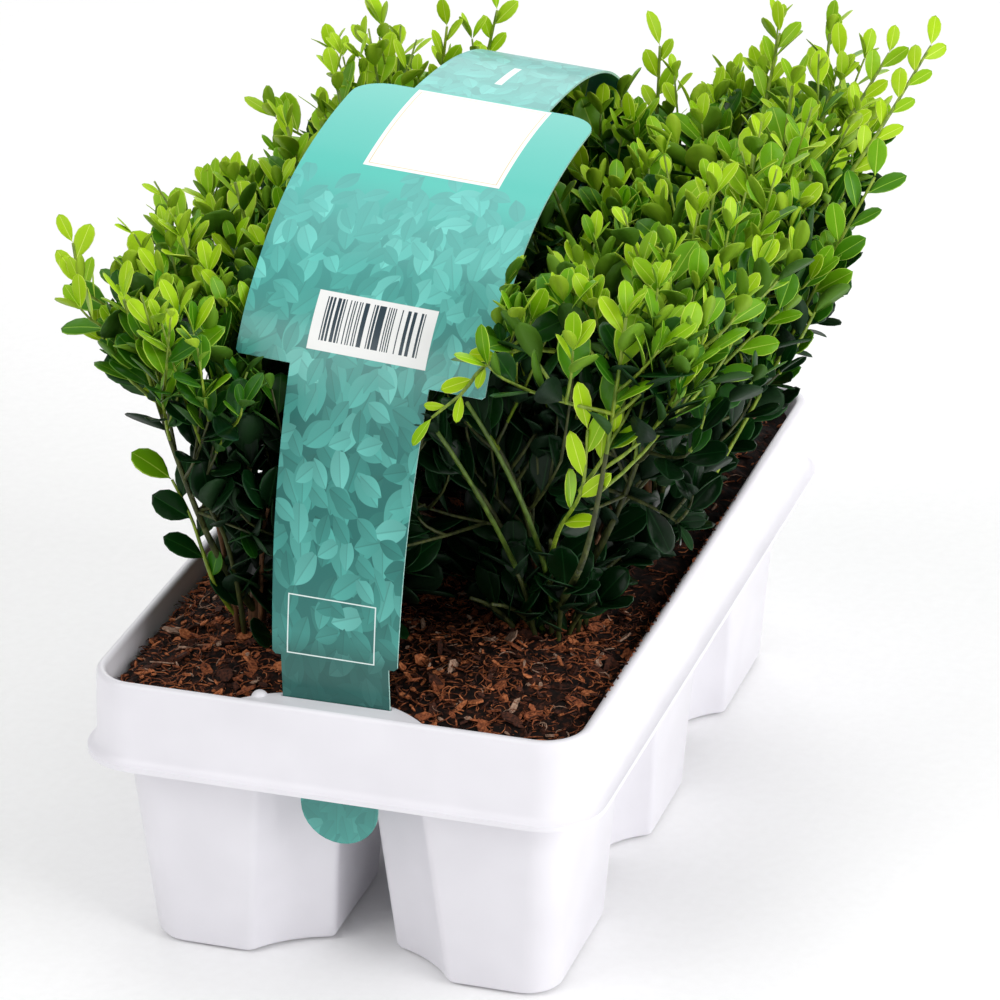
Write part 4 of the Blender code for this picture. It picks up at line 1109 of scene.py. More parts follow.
def along_path(path, t):
    """Point and heading at a share of a path."""
    run = np.concatenate([[0], np.cumsum(np.linalg.norm(np.diff(path, axis=0), axis=1))])
    at = t * run[-1]
    point = np.array([np.interp(at, run, path[:, k]) for k in range(3)])
    k = min(int(np.searchsorted(run, at, side="right")) - 1, len(path) - 2)
    return Vector(point), Vector(path[k + 1] - path[k]).normalized()


# Crown

def reach(side, z):
    """How far the crown reaches to one side at a height."""
    if side == LEFT:
        return np.interp(z, LEFT_HEIGHTS, LEFT_REACHES)
    t = np.clip((z - CROWN_LOW) / (REACH_HEIGHT - CROWN_LOW), 0.0, 1.0)
    return REACH_LOW[side] + (REACH_TOP[side] - REACH_LOW[side]) * np.sin(math.pi / 2 * t)


def hollow_distance(points):
    """The least distance of points from an open place's middle, as a share of its half-size."""
    points = np.asarray(points)
    return min(np.sqrt((((points - middle) / halves) ** 2).sum(1)).min() for middle, halves in HOLLOWS)


def crown_top(x, y):
    """Height of the crown's top: higher at the back and on the right."""
    across = np.clip((x - REACH_TOP[LEFT]) / (REACH_TOP[RIGHT] - REACH_TOP[LEFT]), 0.0, 1.0)
    back = np.clip((y + 0.15) / 0.30, 0.0, 1.0)
    return CROWN_TOP_LEFT + (CROWN_TOP_RIGHT - CROWN_TOP_LEFT) * (
        TOP_ACROSS_SHARE * across + (1 - TOP_ACROSS_SHARE) * back)


def crown_depth(points):
    """How far out points lie: 0 in the crown's middle and 1 on its outline."""
    x, y, z = np.asarray(points, float).T
    side = x / np.where(x > 0, reach(RIGHT, z), reach(LEFT, z))
    deep = np.abs(y) / reach(DEEP, z)
    return (side ** CROWN_SQUARENESS + deep ** CROWN_SQUARENESS) ** (1 / CROWN_SQUARENESS)


def in_crown(points, spare):
    """Whether points lie inside the crown's outline, with room to spare under its top."""
    x, y, z = points.T
    between = (z > CROWN_LOW - LOW_LEAVES) & (z < crown_top(x, y) - spare)
    return bool((between & (crown_depth(points) < 1.0 - spare * SIDE_SPARE)).all())


def mass_table():
    """Each mass: its plant, its letter and its middle."""
    rows = []
    for column, row in STEM_FEET:
        mid_y = row * ROW_SPACING
        outer_x = OUTER_MASS_X[column > 0]
        inner_x = INNER_MASS_X[column > 0]
        rows += [((column, row), letter, x, y) for letter, x, y in (
            ("a", outer_x, mid_y - OUTER_MASS_STEP), ("b", outer_x, mid_y + OUTER_MASS_STEP),
            ("c", inner_x, mid_y))]
    return rows


MASSES = mass_table()
SITES = np.array([(x, y, MASS_MID_HEIGHT) for _, _, x, y in MASSES])
STRAP_STEP = np.gradient(STRAP_LINE, axis=0)
STRAP_STEP /= np.linalg.norm(STRAP_STEP, axis=1)[:, None]


def in_share(points, index):
    """Whether all points are nearer to this mass's middle than to any other's, or nearly so."""
    own = SITES[index]
    others = np.delete(SITES, index, 0)
    between = others - own
    size = np.linalg.norm(between, axis=1)
    along = np.einsum("pk,mk->pm", points, between / size[:, None])
    middle = ((own + others) / 2 * (between / size[:, None])).sum(1)
    return bool((along - middle).max() < SHARE_OVERLAP)


def clear_of_strap(points):
    """Whether all points lie under or beside the strap and keep their distance from it."""
    upright = points[:, 2] + strap_tilt(points[:, 2]) * points[:, 0]
    off_y = points[:, 1, None] - STRAP_LINE[None, :, 0]
    off_z = upright[:, None] - STRAP_LINE[None, :, 1]
    near = np.argmin(off_y ** 2 + off_z ** 2, axis=1)
    rows = np.arange(len(points))
    inward = off_y[rows, near] * STRAP_STEP[near, 1] - off_z[rows, near] * STRAP_STEP[near, 0]
    side = np.abs(points[:, 0]) - STRAP_WIDTHS[near]
    away = np.hypot(np.maximum(side, 0.0), np.hypot(off_y[rows, near], off_z[rows, near]))
    return bool(((away > STRAP_CLEARANCE) & ((side > 0.0) | (inward > 0.0))).all())


def dense_top(y):
    """How far under the crown's tips the dense foliage ends; only single shoots pass it."""
    back = float(np.clip((y + 0.12) / 0.24, 0.0, 1.0))
    return DENSE_TOP_FRONT + (DENSE_TOP_BACK - DENSE_TOP_FRONT) * back


def fits(points, index, spare=0.0):
    """Whether points stay in the crown and in the mass's share, clear of the strap."""
    points = np.asarray(points, float)
    return (in_crown(points, spare) and (index is None or in_share(points, index))
            and hollow_distance(points) > 1.0 and clear_of_strap(points))


# Leaves

# Half outline of a leaf as (share of the length, share of the half-width): widest past the middle
LEAF_OUTLINE = ((0.0, 0.0), (0.08, 0.07), (0.22, 0.50), (0.40, 0.86),
                (0.58, 1.0), (0.77, 0.92), (0.92, 0.56), (1.0, 0.0))
RIB_SHARE = 0.050
MARGIN_START = 0.915
LEAF_THICKNESS = 0.018


def leaf_template():
    """One leaf of unit length and half-width: columns of points across it, and its faces with their part."""
    columns = (-1.0, -MARGIN_START, -RIB_SHARE, RIB_SHARE, MARGIN_START, 1.0)
    points = [(0.0, 0.0, 0.0)]
    for t, width in LEAF_OUTLINE[1:-1]:
        for c in columns:
            x = c * width if abs(c) > RIB_SHARE else c * (0.5 + 0.5 * (1 - t))
            points.append((x, t, 1.0 if abs(c) == 1.0 else 0.0))
    tip = len(points)
    points.append((0.0, 1.0, 0.0))
    below = len(points)
    rows = len(LEAF_OUTLINE) - 2
    for t, _ in LEAF_OUTLINE[1:-1]:
        points.append((0.0, t, -1.0))
    faces, parts = [], []
    wide = len(columns)
    for k in range(wide - 1):
        part = 1 - k % 2
        faces.append((0, 2 + k, 1 + k))
        parts.append(part)
        for r in range(rows - 1):
            a = 1 + r * wide + k
            faces.append((a, a + 1, a + wide + 1, a + wide))
            parts.append(part)
        a = 1 + (rows - 1) * wide + k
        faces.append((a, a + 1, tip))
        parts.append(part)
    for edge, flip in ((0, False), (wide - 1, True)):
        low = [(0, 1 + edge, below)]
        for r in range(rows - 1):
            a = 1 + r * wide + edge
            low.append((a, a + wide, below + r + 1, below + r))
        low.append((1 + (rows - 1) * wide + edge, tip, below + rows - 1))
        faces += [f[::-1] if flip else f for f in low]
        parts += [2] * len(low)
    return np.array(points), faces, parts


LEAF_POINTS, LEAF_FACES, LEAF_PARTS = leaf_template()


class Leaves:
    """Many leaves that become one mesh, each with its own tone and bearing."""

    def __init__(self):
        self.rows = []

    def add(self, root, direction, normal, length, width, fold, curl, tone):
        across = direction.cross(normal).normalized()
        up = across.cross(direction).normalized()
        self.rows.append((*root, *direction, *across, *up, length, width, fold, curl, tone))

    def build(self, name):
        """Place the template for every leaf at once and join them."""
        rows = np.array(self.rows)
        root, direction, across, up = (rows[:, None, k:k + 3] for k in (0, 3, 6, 9))
        length, width, fold, curl = (rows[:, k, None] for k in (12, 13, 14, 15))
        x, t, layer = LEAF_POINTS.T
        half = width / 2
        rolled = np.where(layer > 0, 0.05, 0.0) * half
        thick = np.where(layer < 0, LEAF_THICKNESS, 0.0) * length
        lift = fold * np.abs(x) * half - rolled - thick + curl * t ** 2 * length
        points = (root + direction * (t * length)[..., None] + across * (x * half)[..., None]
                  + up * lift[..., None])
        count = len(LEAF_POINTS)
        faces = [[first + corner for corner in face]
                 for first in range(0, len(rows) * count, count) for face in LEAF_FACES]
        kinds = (rows[:, 16, None].astype(int) * 3 + np.array(LEAF_PARTS)).ravel().tolist()
        return mesh_piece(name, points.reshape(-1, 3), faces, LEAF_SLOTS, kinds)


# Growth

# Side twigs on a leader, by the share of its length where the first stands and over which all do
SIDE_TWIGS = 11
SIDE_TWIG_FIRST = 0.06
SIDE_TWIG_RUN = 0.88
TWIG_LENGTH = (0.024, 0.046)
SPRIG_SHARES = (0.35, 0.65, 1.0)
SPRIG_LENGTH = (0.018, 0.034)
LEADING_SHARE = 0.12
LEADING_LENGTH = (0.032, 0.052)
LEADING_STEP = 0.0064
LEADING_LEAF_SIZE = 0.80
SHORTER_TRY = 0.72
FILL_TWIGS = 26
FILL_GOALS = 14
FILL_REACH = (0.040, 0.032)
FILL_LOW = 0.150
FILL_MOST = 0.042
FILL_RISE = 0.014
FILL_RISE_WEIGHT = 3.0
FILL_BOW = 0.34
# The share of each kind of limb that stays bare, from its foot
LEADER_BARE = 0.45
TWIG_BARE = 0.40
SPRIG_BARE = 0.22
LEADING_BARE = 0.15
FILL_BARE = 0.38
BASE_BARE = 0.25
FRONT_BARE = 0.74
LEAF_STEP = 0.0056
FEWEST_LEAVES = 3
GREEN_TWIG_HEIGHT = 0.180
LEAF_LENGTHS = ((0.0095, 0.0145), (0.0132, 0.0188), (0.0148, 0.0200))
LEAF_RATIOS = ((0.38, 0.50), (0.46, 0.60), (0.56, 0.68))
LEAF_YOUTH = (1.15, 0.30, -0.35)
# How much a leaf leans up its twig, from the tip's first whorls down, and out from it and upwards
LEAF_FORWARD = (1.7, 1.2, 0.95, 0.8, 0.62)
LEAF_OUT = 0.72
LEAF_UP = 0.30
LEAF_FOLD = (0.02, 0.34)
LEAF_CURL = (-0.22, 0.08)
# Shares of a limb's heading, of a side and of the upright in where a side twig or a sprig grows
TWIG_BEARING = (0.55, 0.9, 0.25)
SPRIG_BEARING = (0.35, 0.42, 0.85)
# A leaf's tone number: the darkest, less a share for height (younger growth and painted light from above),
# for youth, for painted light on the left edge and at the back, plus painted shade round the open places, and
# a spread
DARKEST_TONE = 8.0
HIGH_PAINTED_LIGHT_AND_YOUTH = 5.2
YOUNG_LIGHTER = 1.6
LEFT_PAINTED_LIGHT = 1.8
TONE_SPREAD = 1.6
TONE_LOW = 0.182
TONE_RISE = 0.062
LEFT_SPAN = 0.1
# Painted light at the back of the crown, and painted shade on leaves round the open places
BACK_PAINTED_LIGHT = 1.3
BACK_START, BACK_SPAN = -0.10, 0.20
HOLLOW_SHADE = 2.6
SHADE_REACH = 1.9
# Shoots round each stem's foot in two tiers, as (how many, reach outwards, rise)
BASE_TIERS = (
    (8, (0.010, 0.034), (0.036, 0.074)),
    (14, (0.014, 0.048), (0.012, 0.036)),
)
BASE_START = (0.0045, 0.0110)
BASE_RADII = (0.0010, 0.0006)
# Bare olive shoots of the front right plant that cross its dark inside
FRONT_SHOOTS = (
    ((0.0500, -0.0700, 0.1000), (0.0428, -0.0925, 0.1515), (0.0285, -0.1150, 0.1930)),
    ((0.0520, -0.0680, 0.1000), (0.0600, -0.0920, 0.1500), (0.0368, -0.1100, 0.2025)),
)
FRONT_RADII = (0.0010, 0.0007)
# Kinds of shoot, as (shortest leaf, longest leaf, width share, upward share, step between leaves, tones)
SHOWY = (0.0170, 0.0210, 0.28, 1.7, 0.0100, (0, 0, 1))
SPRAY = (0.0120, 0.0165, 0.32, 1.5, 0.0058, (0, 1, 1))
SMALL = (0.0080, 0.0112, 0.40, 1.2, 0.0062, (0, 0, 1))
YOUNG = (0.0100, 0.0140, 0.42, 1.4, 0.0062, (0, 0, 1))
GROWN = (0.0120, 0.0160, 0.46, 1.0, 0.0064, (2, 3, 4))
LOWER = (0.0115, 0.0165, 0.54, 0.9, 0.0074, (2, 4, 6))
# Shoots that stand clear of the rest, by plant, as (kind, points from inside the crown to the tip)
ACCENT_SHOOTS = {
    (1, -1): (
        (SHOWY, ((0.0565, -0.0850, 0.1380), (0.0665, -0.1060, 0.1600), (0.0787, -0.1210, 0.1822),
                 (0.0826, -0.1270, 0.2060))),
        (SPRAY, ((0.0777, -0.1200, 0.1809), (0.0850, -0.1220, 0.1925), (0.0903, -0.1240, 0.2035))),
        (SMALL, ((0.0600, -0.0900, 0.2150), (0.0530, -0.1040, 0.2205), (0.0452, -0.1180, 0.2192),
                 (0.0410, -0.1260, 0.2134), (0.0318, -0.1300, 0.2052))),
        (GROWN, ((0.0800, -0.0640, 0.1660), (0.0957, -0.0740, 0.1902), (0.1106, -0.0640, 0.2070),
                 (0.1239, -0.0500, 0.2202))),
    ),
    (-1, -1): (
        (YOUNG, ((-0.0420, -0.1000, 0.1550), (-0.0468, -0.1120, 0.1758), (-0.0693, -0.1090, 0.1960),
                 (-0.0900, -0.1000, 0.2010), (-0.1040, -0.0890, 0.2150), (-0.1105, -0.0800, 0.2290))),
        (LOWER, ((-0.0486, -0.0950, 0.1020), (-0.0544, -0.1060, 0.1228), (-0.0608, -0.1080, 0.1469),
                 (-0.0681, -0.1060, 0.1596))),
        (YOUNG, ((-0.0560, -0.0880, 0.1640), (-0.0620, -0.0980, 0.1850), (-0.0640, -0.1040, 0.2050))),
    ),
    (-1, 1): (
        (YOUNG, ((-0.0450, 0.1000, 0.2050), (-0.0420, 0.1000, 0.2300), (-0.0394, 0.1000, 0.2500))),
        (YOUNG, ((-0.0400, 0.1200, 0.2000), (-0.0360, 0.1320, 0.2250), (-0.0310, 0.1320, 0.2460))),
    ),
    (1, 0): (
        (GROWN, ((0.0860, -0.0100, 0.1280), (0.1090, 0.0000, 0.1760), (0.1250, 0.0020, 0.2120),
                 (0.1400, 0.0120, 0.2450))),
    ),
    (1, 1): (
        (YOUNG, ((0.1050, 0.0450, 0.2050), (0.1270, 0.0550, 0.2380), (0.1400, 0.0900, 0.2640))),
        (YOUNG, ((0.1000, 0.0750, 0.2150), (0.1150, 0.0800, 0.2400), (0.1254, 0.0900, 0.2600))),
        (YOUNG, ((0.0750, 0.0950, 0.2100), (0.0780, 0.1050, 0.2350), (0.0810, 0.1100, 0.2560))),
        (YOUNG, ((0.0980, 0.0850, 0.2150), (0.1020, 0.0950, 0.2350), (0.1054, 0.1000, 0.2520))),
        (YOUNG, ((0.0350, 0.1100, 0.2050), (0.0340, 0.1180, 0.2250), (0.0341, 0.1200, 0.2430))),
    ),
}
ACCENT_LEAFED_SHARE = 0.72
ACCENT_SPACING = 0.004
ACCENT_RADII = (0.0009, 0.0005)
# Where the light that leaves turn to comes from, seen from the front
LEAF_LIGHT = Vector((0.25, -0.75, 0.60))


def turned_side(tangent, angle):
    """A direction square to a twig, turned round it."""
    side = tangent.orthogonal().normalized()
    side.rotate(Matrix.Rotation(angle, 3, tangent))
    return side


def bearing(tangent, side, shares):
    """A direction from shares of a limb's heading, a side and the upright."""
    return (tangent * shares[0] + side * shares[1] + UP * shares[2]).normalized()


def tone_of(point, youth, rng):
    """The tone of a leaf: lighter at young tips, lighter near the top from younger growth and painted light
    from above, with painted light at the left edge and the back, painted shade round the open places, and
    darkest low inside.
    """
    # Painted light lightens leaves near the top, at the left edge and at the back; painted shade darkens
    # those round the open places
    height = min(max((point.z - TONE_LOW) / TONE_RISE, 0.0), 1.0)
    edge = max(0.0, -point.x / LEFT_SPAN)
    shade = HOLLOW_SHADE * min(1.0, max(0.0, SHADE_REACH - hollow_distance([point])))
    young = youth * (0.45 + 0.55 * height)
    back = BACK_PAINTED_LIGHT * min(1.0, max(0.0, (point.y - BACK_START) / BACK_SPAN))
    value = DARKEST_TONE - HIGH_PAINTED_LIGHT_AND_YOUTH * height - YOUNG_LIGHTER * young - LEFT_PAINTED_LIGHT * edge - back + shade
    value += rng.uniform(-TONE_SPREAD, TONE_SPREAD)
    return int(min(len(LEAF_TONES) - 1, max(0, round(value))))


def leaf_twig(leaves, path, bare, index, rng, spray, step=LEAF_STEP, aged=0.0, small=1.0):
    """Leaves up one twig at the golden angle, closer and smaller at its tip; tells if enough fit."""
    first = len(leaves.rows)
    run = float(np.linalg.norm(np.diff(path, axis=0), axis=1).sum())
    count = max(3, round(run * (1 - bare) / step))
    turn = rng.uniform(0, 2 * math.pi)
    for k in range(count + 3):
        share = 1.0 - (1.0 - bare) * max(0.0, k - 2) / count
        age = 0 if k < 4 and not aged else (1 if share > 0.5 and not aged else 2)
        foot, tangent = along_path(path, share)
        for _ in range(3):
            turn += GOLDEN_ANGLE + rng.uniform(-0.25, 0.25)
            side = turned_side(tangent, turn)
            direction = bearing(tangent, side, (LEAF_FORWARD[min(k, 4)], LEAF_OUT, LEAF_UP))
            normal = tangent * 0.8 + UP * 0.45 + Vector([rng.uniform(-0.3, 0.3) for _ in range(3)])
            length = rng.uniform(*LEAF_LENGTHS[age]) * small
            width = length * rng.uniform(*LEAF_RATIOS[age])
            across = direction.cross(normal).normalized() * width / 2
            middle = foot + direction * length * 0.55
            if fits([middle + across, middle - across, foot + direction * length], index):
                tone = tone_of(foot + direction * length, spray + LEAF_YOUTH[age] - aged, rng)
                leaves.add(foot, direction, normal, length, width, rng.uniform(*LEAF_FOLD),
                           rng.uniform(*LEAF_CURL), tone)
                break
    enough = len(leaves.rows) - first >= FEWEST_LEAVES
    if not enough:
        del leaves.rows[first:]
    return enough


def twig_finish(foot):
    """Green young bark high in the crown and older olive bark under it."""
    return 0 if foot[2] > GREEN_TWIG_HEIGHT else 1


def grow_mass(index, start, heading, twigs, leaves):
    """The source's rule carried on: a leader, side twigs, short sprigs on them, and leaves on all."""
    plant, letter, mid_x, mid_y = MASSES[index]
    rng = random.Random(MASS_SEED + MASS_SEED_STEP * index)
    lean = OUTER_LEAN if letter != "c" else 1.0
    tip_x, tip_y = mid_x * lean, mid_y * END_LEAN
    tip_z = float(crown_top(tip_x, tip_y)) - TIP_DEPTH
    if letter == "c":
        tip_z = min(tip_z, float(np.interp(tip_y, STRAP_LINE[:, 0], STRAP_LINE[:, 1])) - UNDER_STRAP)
    bow = LEADER_BENDS[plant[0] > 0]
    leader = bend(start, np.array(start) + np.array(heading) * bow, (tip_x, tip_y, tip_z), 9)
    girth = np.linspace(TWIG_RADIUS, TWIG_TIP_RADIUS, 9)
    twigs.add(leader[:6], girth[:6], 1)
    twigs.add(leader[5:], girth[5:], 0)
    leaf_twig(leaves, leader, LEADER_BARE, index, rng, rng.uniform(-0.1, 0.2))
    limbs = [leader]
    for k in range(SIDE_TWIGS):
        share = SIDE_TWIG_FIRST + SIDE_TWIG_RUN * k / (SIDE_TWIGS - 1)
        foot, tangent = along_path(leader, share)
        for attempt in range(8):
            angle = GOLDEN_ANGLE * (k + 3 * attempt) + rng.uniform(-0.3, 0.3)
            side = turned_side(tangent, angle)
            out = bearing(tangent, side, TWIG_BEARING)
            length = rng.uniform(*TWIG_LENGTH) * (1.0 - 0.06 * attempt)
            end = foot + out * length + UP * length * 0.30
            if fits([foot + (end - foot) * t for t in (0.6, 1.0)], index, dense_top(end.y)):
                path = bend(foot, foot + out * length * 0.5, end, 5)
                if hollow_distance(path[2:]) > 1.0:
                    limbs += grow_sprigs(path, index, rng, twigs, leaves)
                    break
    fill_mass(index, limbs, rng, twigs, leaves)


def grow_sprigs(path, index, rng, twigs, leaves):
    """A side twig with its leaves, and short upright sprigs on it, a few of which lead past the rest."""
    spray = rng.uniform(-0.3, 0.35)
    leafy = leaf_twig(leaves, path, TWIG_BARE, index, rng, spray - 0.2)
    sprigs = []
    for j, share in enumerate(SPRIG_SHARES):
        foot, tangent = along_path(path, share)
        side = turned_side(tangent, GOLDEN_ANGLE * j * 2 + rng.uniform(0, 2 * math.pi))
        out = bearing(tangent, side, SPRIG_BEARING)
        leading = rng.random() < LEADING_SHARE
        spare = 0.0 if leading else dense_top(foot.y) * rng.uniform(0.7, 1.1)
        length = rng.uniform(*(LEADING_LENGTH if leading else SPRIG_LENGTH))
        for _ in range(3):
            end = foot + out * length + UP * length * 0.2
            if fits([(foot + end) / 2, end], index, spare):
                sprig = bend(foot, foot + out * length * 0.5, end, 4)
                if leading:
                    leafed = leaf_twig(leaves, sprig, LEADING_BARE, index, rng, spray + 0.6,
                                       step=LEADING_STEP, small=LEADING_LEAF_SIZE)
                else:
                    leafed = leaf_twig(leaves, sprig, SPRIG_BARE, index, rng, spray)
                if leafed:
                    sprigs.append(sprig)
                    radii = np.linspace(TWIG_TIP_RADIUS, TWIG_TIP_RADIUS * 0.6, 4)
                    twigs.add(sprig, radii, twig_finish(foot))
                break
            length *= SHORTER_TRY
    if not leafy and not sprigs:
        return []
    twigs.add(path, np.linspace(TWIG_RADIUS * 0.65, TWIG_TIP_RADIUS * 0.75, len(path)), twig_finish(path[0]))
    return [path] + sprigs


def fill_mass(index, limbs, rng, twigs, leaves):
    """Further twigs into the widest room left in the mass, each from the nearest limb below it."""
    x, y, _ = SITES[index]
    points = np.concatenate([limb[1:] for limb in limbs])
    for _ in range(FILL_TWIGS):
        best, room = None, 0.0
        for _ in range(FILL_GOALS):
            goal = np.array((rng.uniform(x - FILL_REACH[0], x + FILL_REACH[0]),
                             rng.uniform(y - FILL_REACH[1], y + FILL_REACH[1]),
                             rng.uniform(FILL_LOW, CROWN_TOP_RIGHT)))
            gap = float(np.linalg.norm(points - goal, axis=1).min())
            if room < gap < FILL_MOST:
                spare = dense_top(goal[1]) * rng.uniform(0.8, 1.1)
                if fits([goal], index, spare):
                    best, room = goal, gap
        if best is None:
            continue
        off = best - points
        cost = np.linalg.norm(off, axis=1) + np.maximum(FILL_RISE - off[:, 2], 0.0) * FILL_RISE_WEIGHT
        foot = points[int(cost.argmin())]
        outwards = np.array((best[0] - foot[0], best[1] - foot[1], 0.0))
        middle = foot + (best - foot) * 0.5 + outwards * FILL_BOW
        path = bend(foot, middle, best, 5)
        if not clear_of_strap(path) or hollow_distance(path) < 1.0:
            continue
        if leaf_twig(leaves, path, FILL_BARE, index, rng, rng.uniform(-0.3, 0.35)):
            twigs.add(path, np.linspace(TWIG_TIP_RADIUS * 1.2, TWIG_TIP_RADIUS * 0.6, 5), twig_finish(foot))
            points = np.concatenate([points, path[1:]])


def grow_base_shoots(number, foot, rng, limbs, leaves):
    """Young shoots that rise beside the stem's foot and lean out under the crown."""
    ground = Vector((foot[0], foot[1], COMPOST_EDGE))
    for count, reaches, rises in BASE_TIERS:
        for k in range(count):
            for attempt in range(6):
                angle = GOLDEN_ANGLE * (k + attempt * count) + number + rng.uniform(-0.3, 0.3)
                away = Vector((math.cos(angle), math.sin(angle), 0.0))
                begin = ground + away * rng.uniform(*BASE_START)
                rise = rng.uniform(*rises)
                end = begin + away * rng.uniform(*reaches) + UP * rise
                path = bend(begin, begin + away * 0.006 + UP * rise * 0.7, end, 7)
                if not clear_of_strap(path) or crown_depth(path[3:]).max() > 1.0:
                    continue
                if leaf_twig(leaves, path, BASE_BARE, None, rng, 0.0, aged=0.3):
                    limbs.add(path, np.linspace(*BASE_RADII, 7), rng.choice((0, 2, 2)))
                    break


def grow_accents(shoots, rng, twigs, leaves):
    """The few young shoots that stand clear, with leaves in two ranks that face the light."""
    for (short, long, width, upward, step, tones), points in shoots:
        path, spots = smooth_path(points, ACCENT_SPACING)
        twigs.add(path, np.linspace(*ACCENT_RADII, len(path)), 0)
        rank = 1
        for k in range(round(spots[-1] * ACCENT_LEAFED_SHARE / step)):
            foot, tangent = along_path(path, 1.0 - step * k / spots[-1])
            rank = -rank
            side = (tangent.cross(LEAF_LIGHT) * rank + LEAF_LIGHT * rng.uniform(-0.3, 0.5)).normalized()
            direction = (tangent * upward * (1.6 if k == 0 else 1.0) + side * 0.75 + UP * 0.12).normalized()
            normal = LEAF_LIGHT + tangent * 0.3 + Vector([rng.uniform(-0.45, 0.45) for _ in range(3)])
            length = rng.uniform(short, long)
            leaves.add(foot, direction, normal, length, length * width * rng.uniform(0.88, 1.14),
                       rng.uniform(0.10, 0.34), rng.uniform(-0.20, 0.0), rng.choice(tones))


def make_stem(limbs, foot, lean, fork_z):
    """The stem from its socket to its fork, upright below and leaning above."""
    foot_z = STEM_GROUND - SOCKET_DEPTH + GAP
    stem, radii = [], []
    for t in np.linspace(0, 1, 14):
        bow = max(0.0, (t - STEM_BOW_START) / (1 - STEM_BOW_START)) ** 1.3
        stem.append((foot[0] + lean.x * bow, foot[1] + lean.y * bow, foot_z + (fork_z - foot_z) * t))
        radii.append(np.interp(t, *STEM_TAPER))
    limbs.add(stem, radii, 0)


def make_bough(limbs, foot, goal):
    """One bough from the stem to the foot of its leaf mass; gives its end and heading."""
    begin = Vector((*foot, BOUGH_START))
    away = Vector((goal.x - foot[0], goal.y - foot[1], 0)).normalized()
    bough = bend(begin, (begin + goal) / 2 + away * BOUGH_BOW, goal, 10)
    limbs.add(bough, np.linspace(BOUGH_RADIUS * 1.15, BOUGH_TIP_RADIUS, 10), 2)
    return Vector(bough[-1]), Vector(bough[-1] - bough[-2]).normalized()


def make_plant(number, plant):
    """Stem, boughs and everything that grows on them, as in the solids."""
    foot = STEM_FEET[plant]
    fork_z = STEM_GROUND + STEM_FLARE_HEIGHT + FORK_HEIGHT
    own = [(index, letter, x, y) for index, (owner, letter, x, y) in enumerate(MASSES) if owner == plant]
    _, _, inner_x, inner_y = own[-1]
    lean = Vector((inner_x - foot[0], inner_y - foot[1], 0)) * STEM_LEAN
    limbs = Tubes([STEM_BARK, TWIG_BARK, OLD_TWIG_BARK, SHOOT_BARK])
    twigs = Tubes([TWIG_BARK, OLD_TWIG_BARK])
    leaves = Leaves()
    make_stem(limbs, foot, lean, fork_z)
    starts = {"c": (Vector((foot[0] + lean.x, foot[1] + lean.y, fork_z)),
                    Vector((lean.x, lean.y, 0.05)).normalized())}
    outwards = OUTER_START_SHARES[plant[0] > 0]
    for _, letter, x, y in own[:-1]:
        goal = Vector((foot[0] + (x - foot[0]) * outwards, foot[1] + (y - foot[1]) * BOUGH_SIDE_SHARE,
                       MASS_START_HEIGHT))
        starts[letter] = make_bough(limbs, foot, goal)
    for index, letter, _, _ in own:
        grow_mass(index, *starts[letter], twigs, leaves)
    grow_base_shoots(number, foot, random.Random(BASE_SEED + number), limbs, leaves)
    if plant == (1, -1):
        rng = random.Random(FRONT_SEED)
        for path in (bend(*points, 12) for points in FRONT_SHOOTS):
            leaf_twig(leaves, path, FRONT_BARE, None, rng, 0.1)
            limbs.add(path, np.linspace(*FRONT_RADII, 12), 3)
    grow_accents(ACCENT_SHOOTS.get(plant, ()), random.Random(ACCENT_SEED + number), twigs, leaves)
    nodes = (f"stem_{number}", f"bough_{number}a", f"bough_{number}b")
    masses = [f"leaves_{number}{letter}" for letter in "abc"]
    settle(limbs.build(f"limbs_{number}", 12, relief=0.18), "bark", *nodes)
    settle(twigs.build(f"twigs_{number}", 5), "bark", *masses)
    settle(leaves.build(f"foliage_{number}"), "foliage", *masses)


# Stage

CAMERA_AZIMUTH = math.radians(18.33)
CAMERA_ELEVATION = math.radians(25.26)
CAMERA_ROLL = math.radians(-0.82)
CAMERA_PLACE = (0.4931, -1.4548, 0.8378)
CAMERA_LENS = 174.7
SENSOR_WIDTH = 36.0
# Soft studio lights, as (name, place, target, size, power)
LIGHTS = (
    ("key", (-0.9, -1.3, 1.7), (0, 0, 0.15), 1.1, 12),
    ("top", (0.1, 0.5, 1.9), (0, 0, 0.15), 1.3, 9),
    ("fill", (1.7, -0.5, 0.9), (0, 0, 0.12), 1.3, 22),
    ("back", (-0.62, 1.87, 1.15), (0, 0, 0.22), 1.6, 10),
)
SKY_STRENGTH = 0.48


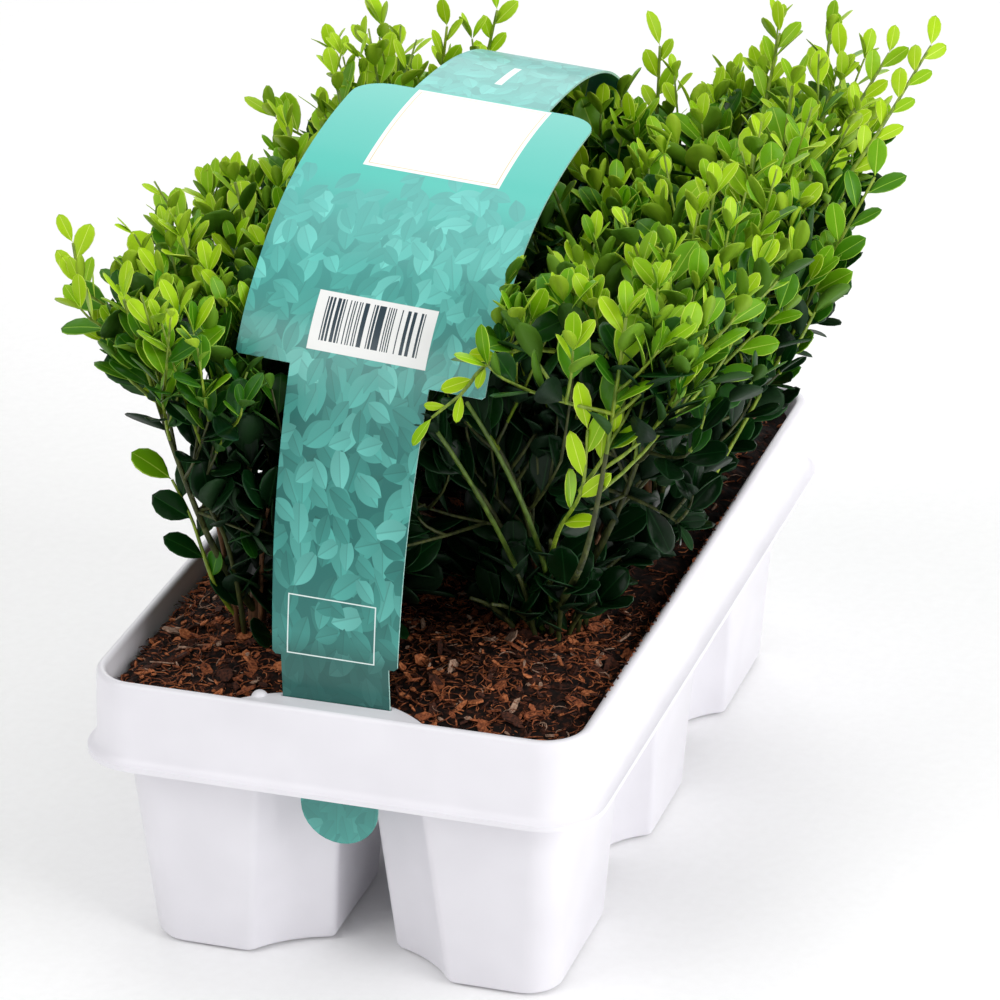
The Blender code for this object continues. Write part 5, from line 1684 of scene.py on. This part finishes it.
def make_camera():
    """The photograph's viewpoint, measured from the tray's rim, flange and feet."""
    data = bpy.data.cameras.new("camera")
    data.lens = CAMERA_LENS
    data.sensor_width = SENSOR_WIDTH
    camera = bpy.data.objects.new("camera", data)
    bpy.context.scene.collection.objects.link(camera)
    back = Vector((math.sin(CAMERA_AZIMUTH) * math.cos(CAMERA_ELEVATION),
                   -math.cos(CAMERA_AZIMUTH) * math.cos(CAMERA_ELEVATION), math.sin(CAMERA_ELEVATION)))
    right = Vector((math.cos(CAMERA_AZIMUTH), math.sin(CAMERA_AZIMUTH), 0.0))
    up = back.cross(right)
    turn = Matrix((right, up, back)).transposed() @ Matrix.Rotation(CAMERA_ROLL, 3, "Z")
    camera.matrix_world = Matrix.Translation(Vector(CAMERA_PLACE) + TRAY_SHIFT) @ turn.to_4x4()
    bpy.context.scene.camera = camera


def add_light(name, place, target, size, power):
    """A soft rectangular studio light aimed at a point."""
    data = bpy.data.lights.new(name, "AREA")
    data.size = size
    data.energy = power
    light = bpy.data.objects.new(name, data)
    light.location = place
    light.rotation_euler = (Vector(target) - Vector(place)).to_track_quat("-Z", "Y").to_euler()
    bpy.context.scene.collection.objects.link(light)


def make_stage():
    """A plain pale floor under plain soft studio light."""
    floor = add_primitive(bpy.ops.mesh.primitive_plane_add, size=8.0, location=(0, 0, -0.0005))
    floor.name = "floor"
    floor.data.materials.append(BACKDROP)
    world = bpy.data.worlds.new("studio")
    world.use_nodes = True
    sky = world.node_tree.nodes["Background"]
    sky.inputs["Color"].default_value = (1.0, 1.0, 1.0, 1.0)
    sky.inputs["Strength"].default_value = SKY_STRENGTH
    bpy.context.scene.world = world
    for light in LIGHTS:
        add_light(*light)
    bpy.context.scene.view_settings.view_transform = "Standard"


make_camera()
make_stage()
make_tray()
make_strap()
make_compost()
litter_dice = random.Random(LITTER_SEED)
make_fibres(litter_dice)
make_chips(litter_dice)
for plant_number, plant_cell in enumerate(STEM_FEET, 1):
    make_plant(plant_number, plant_cell)
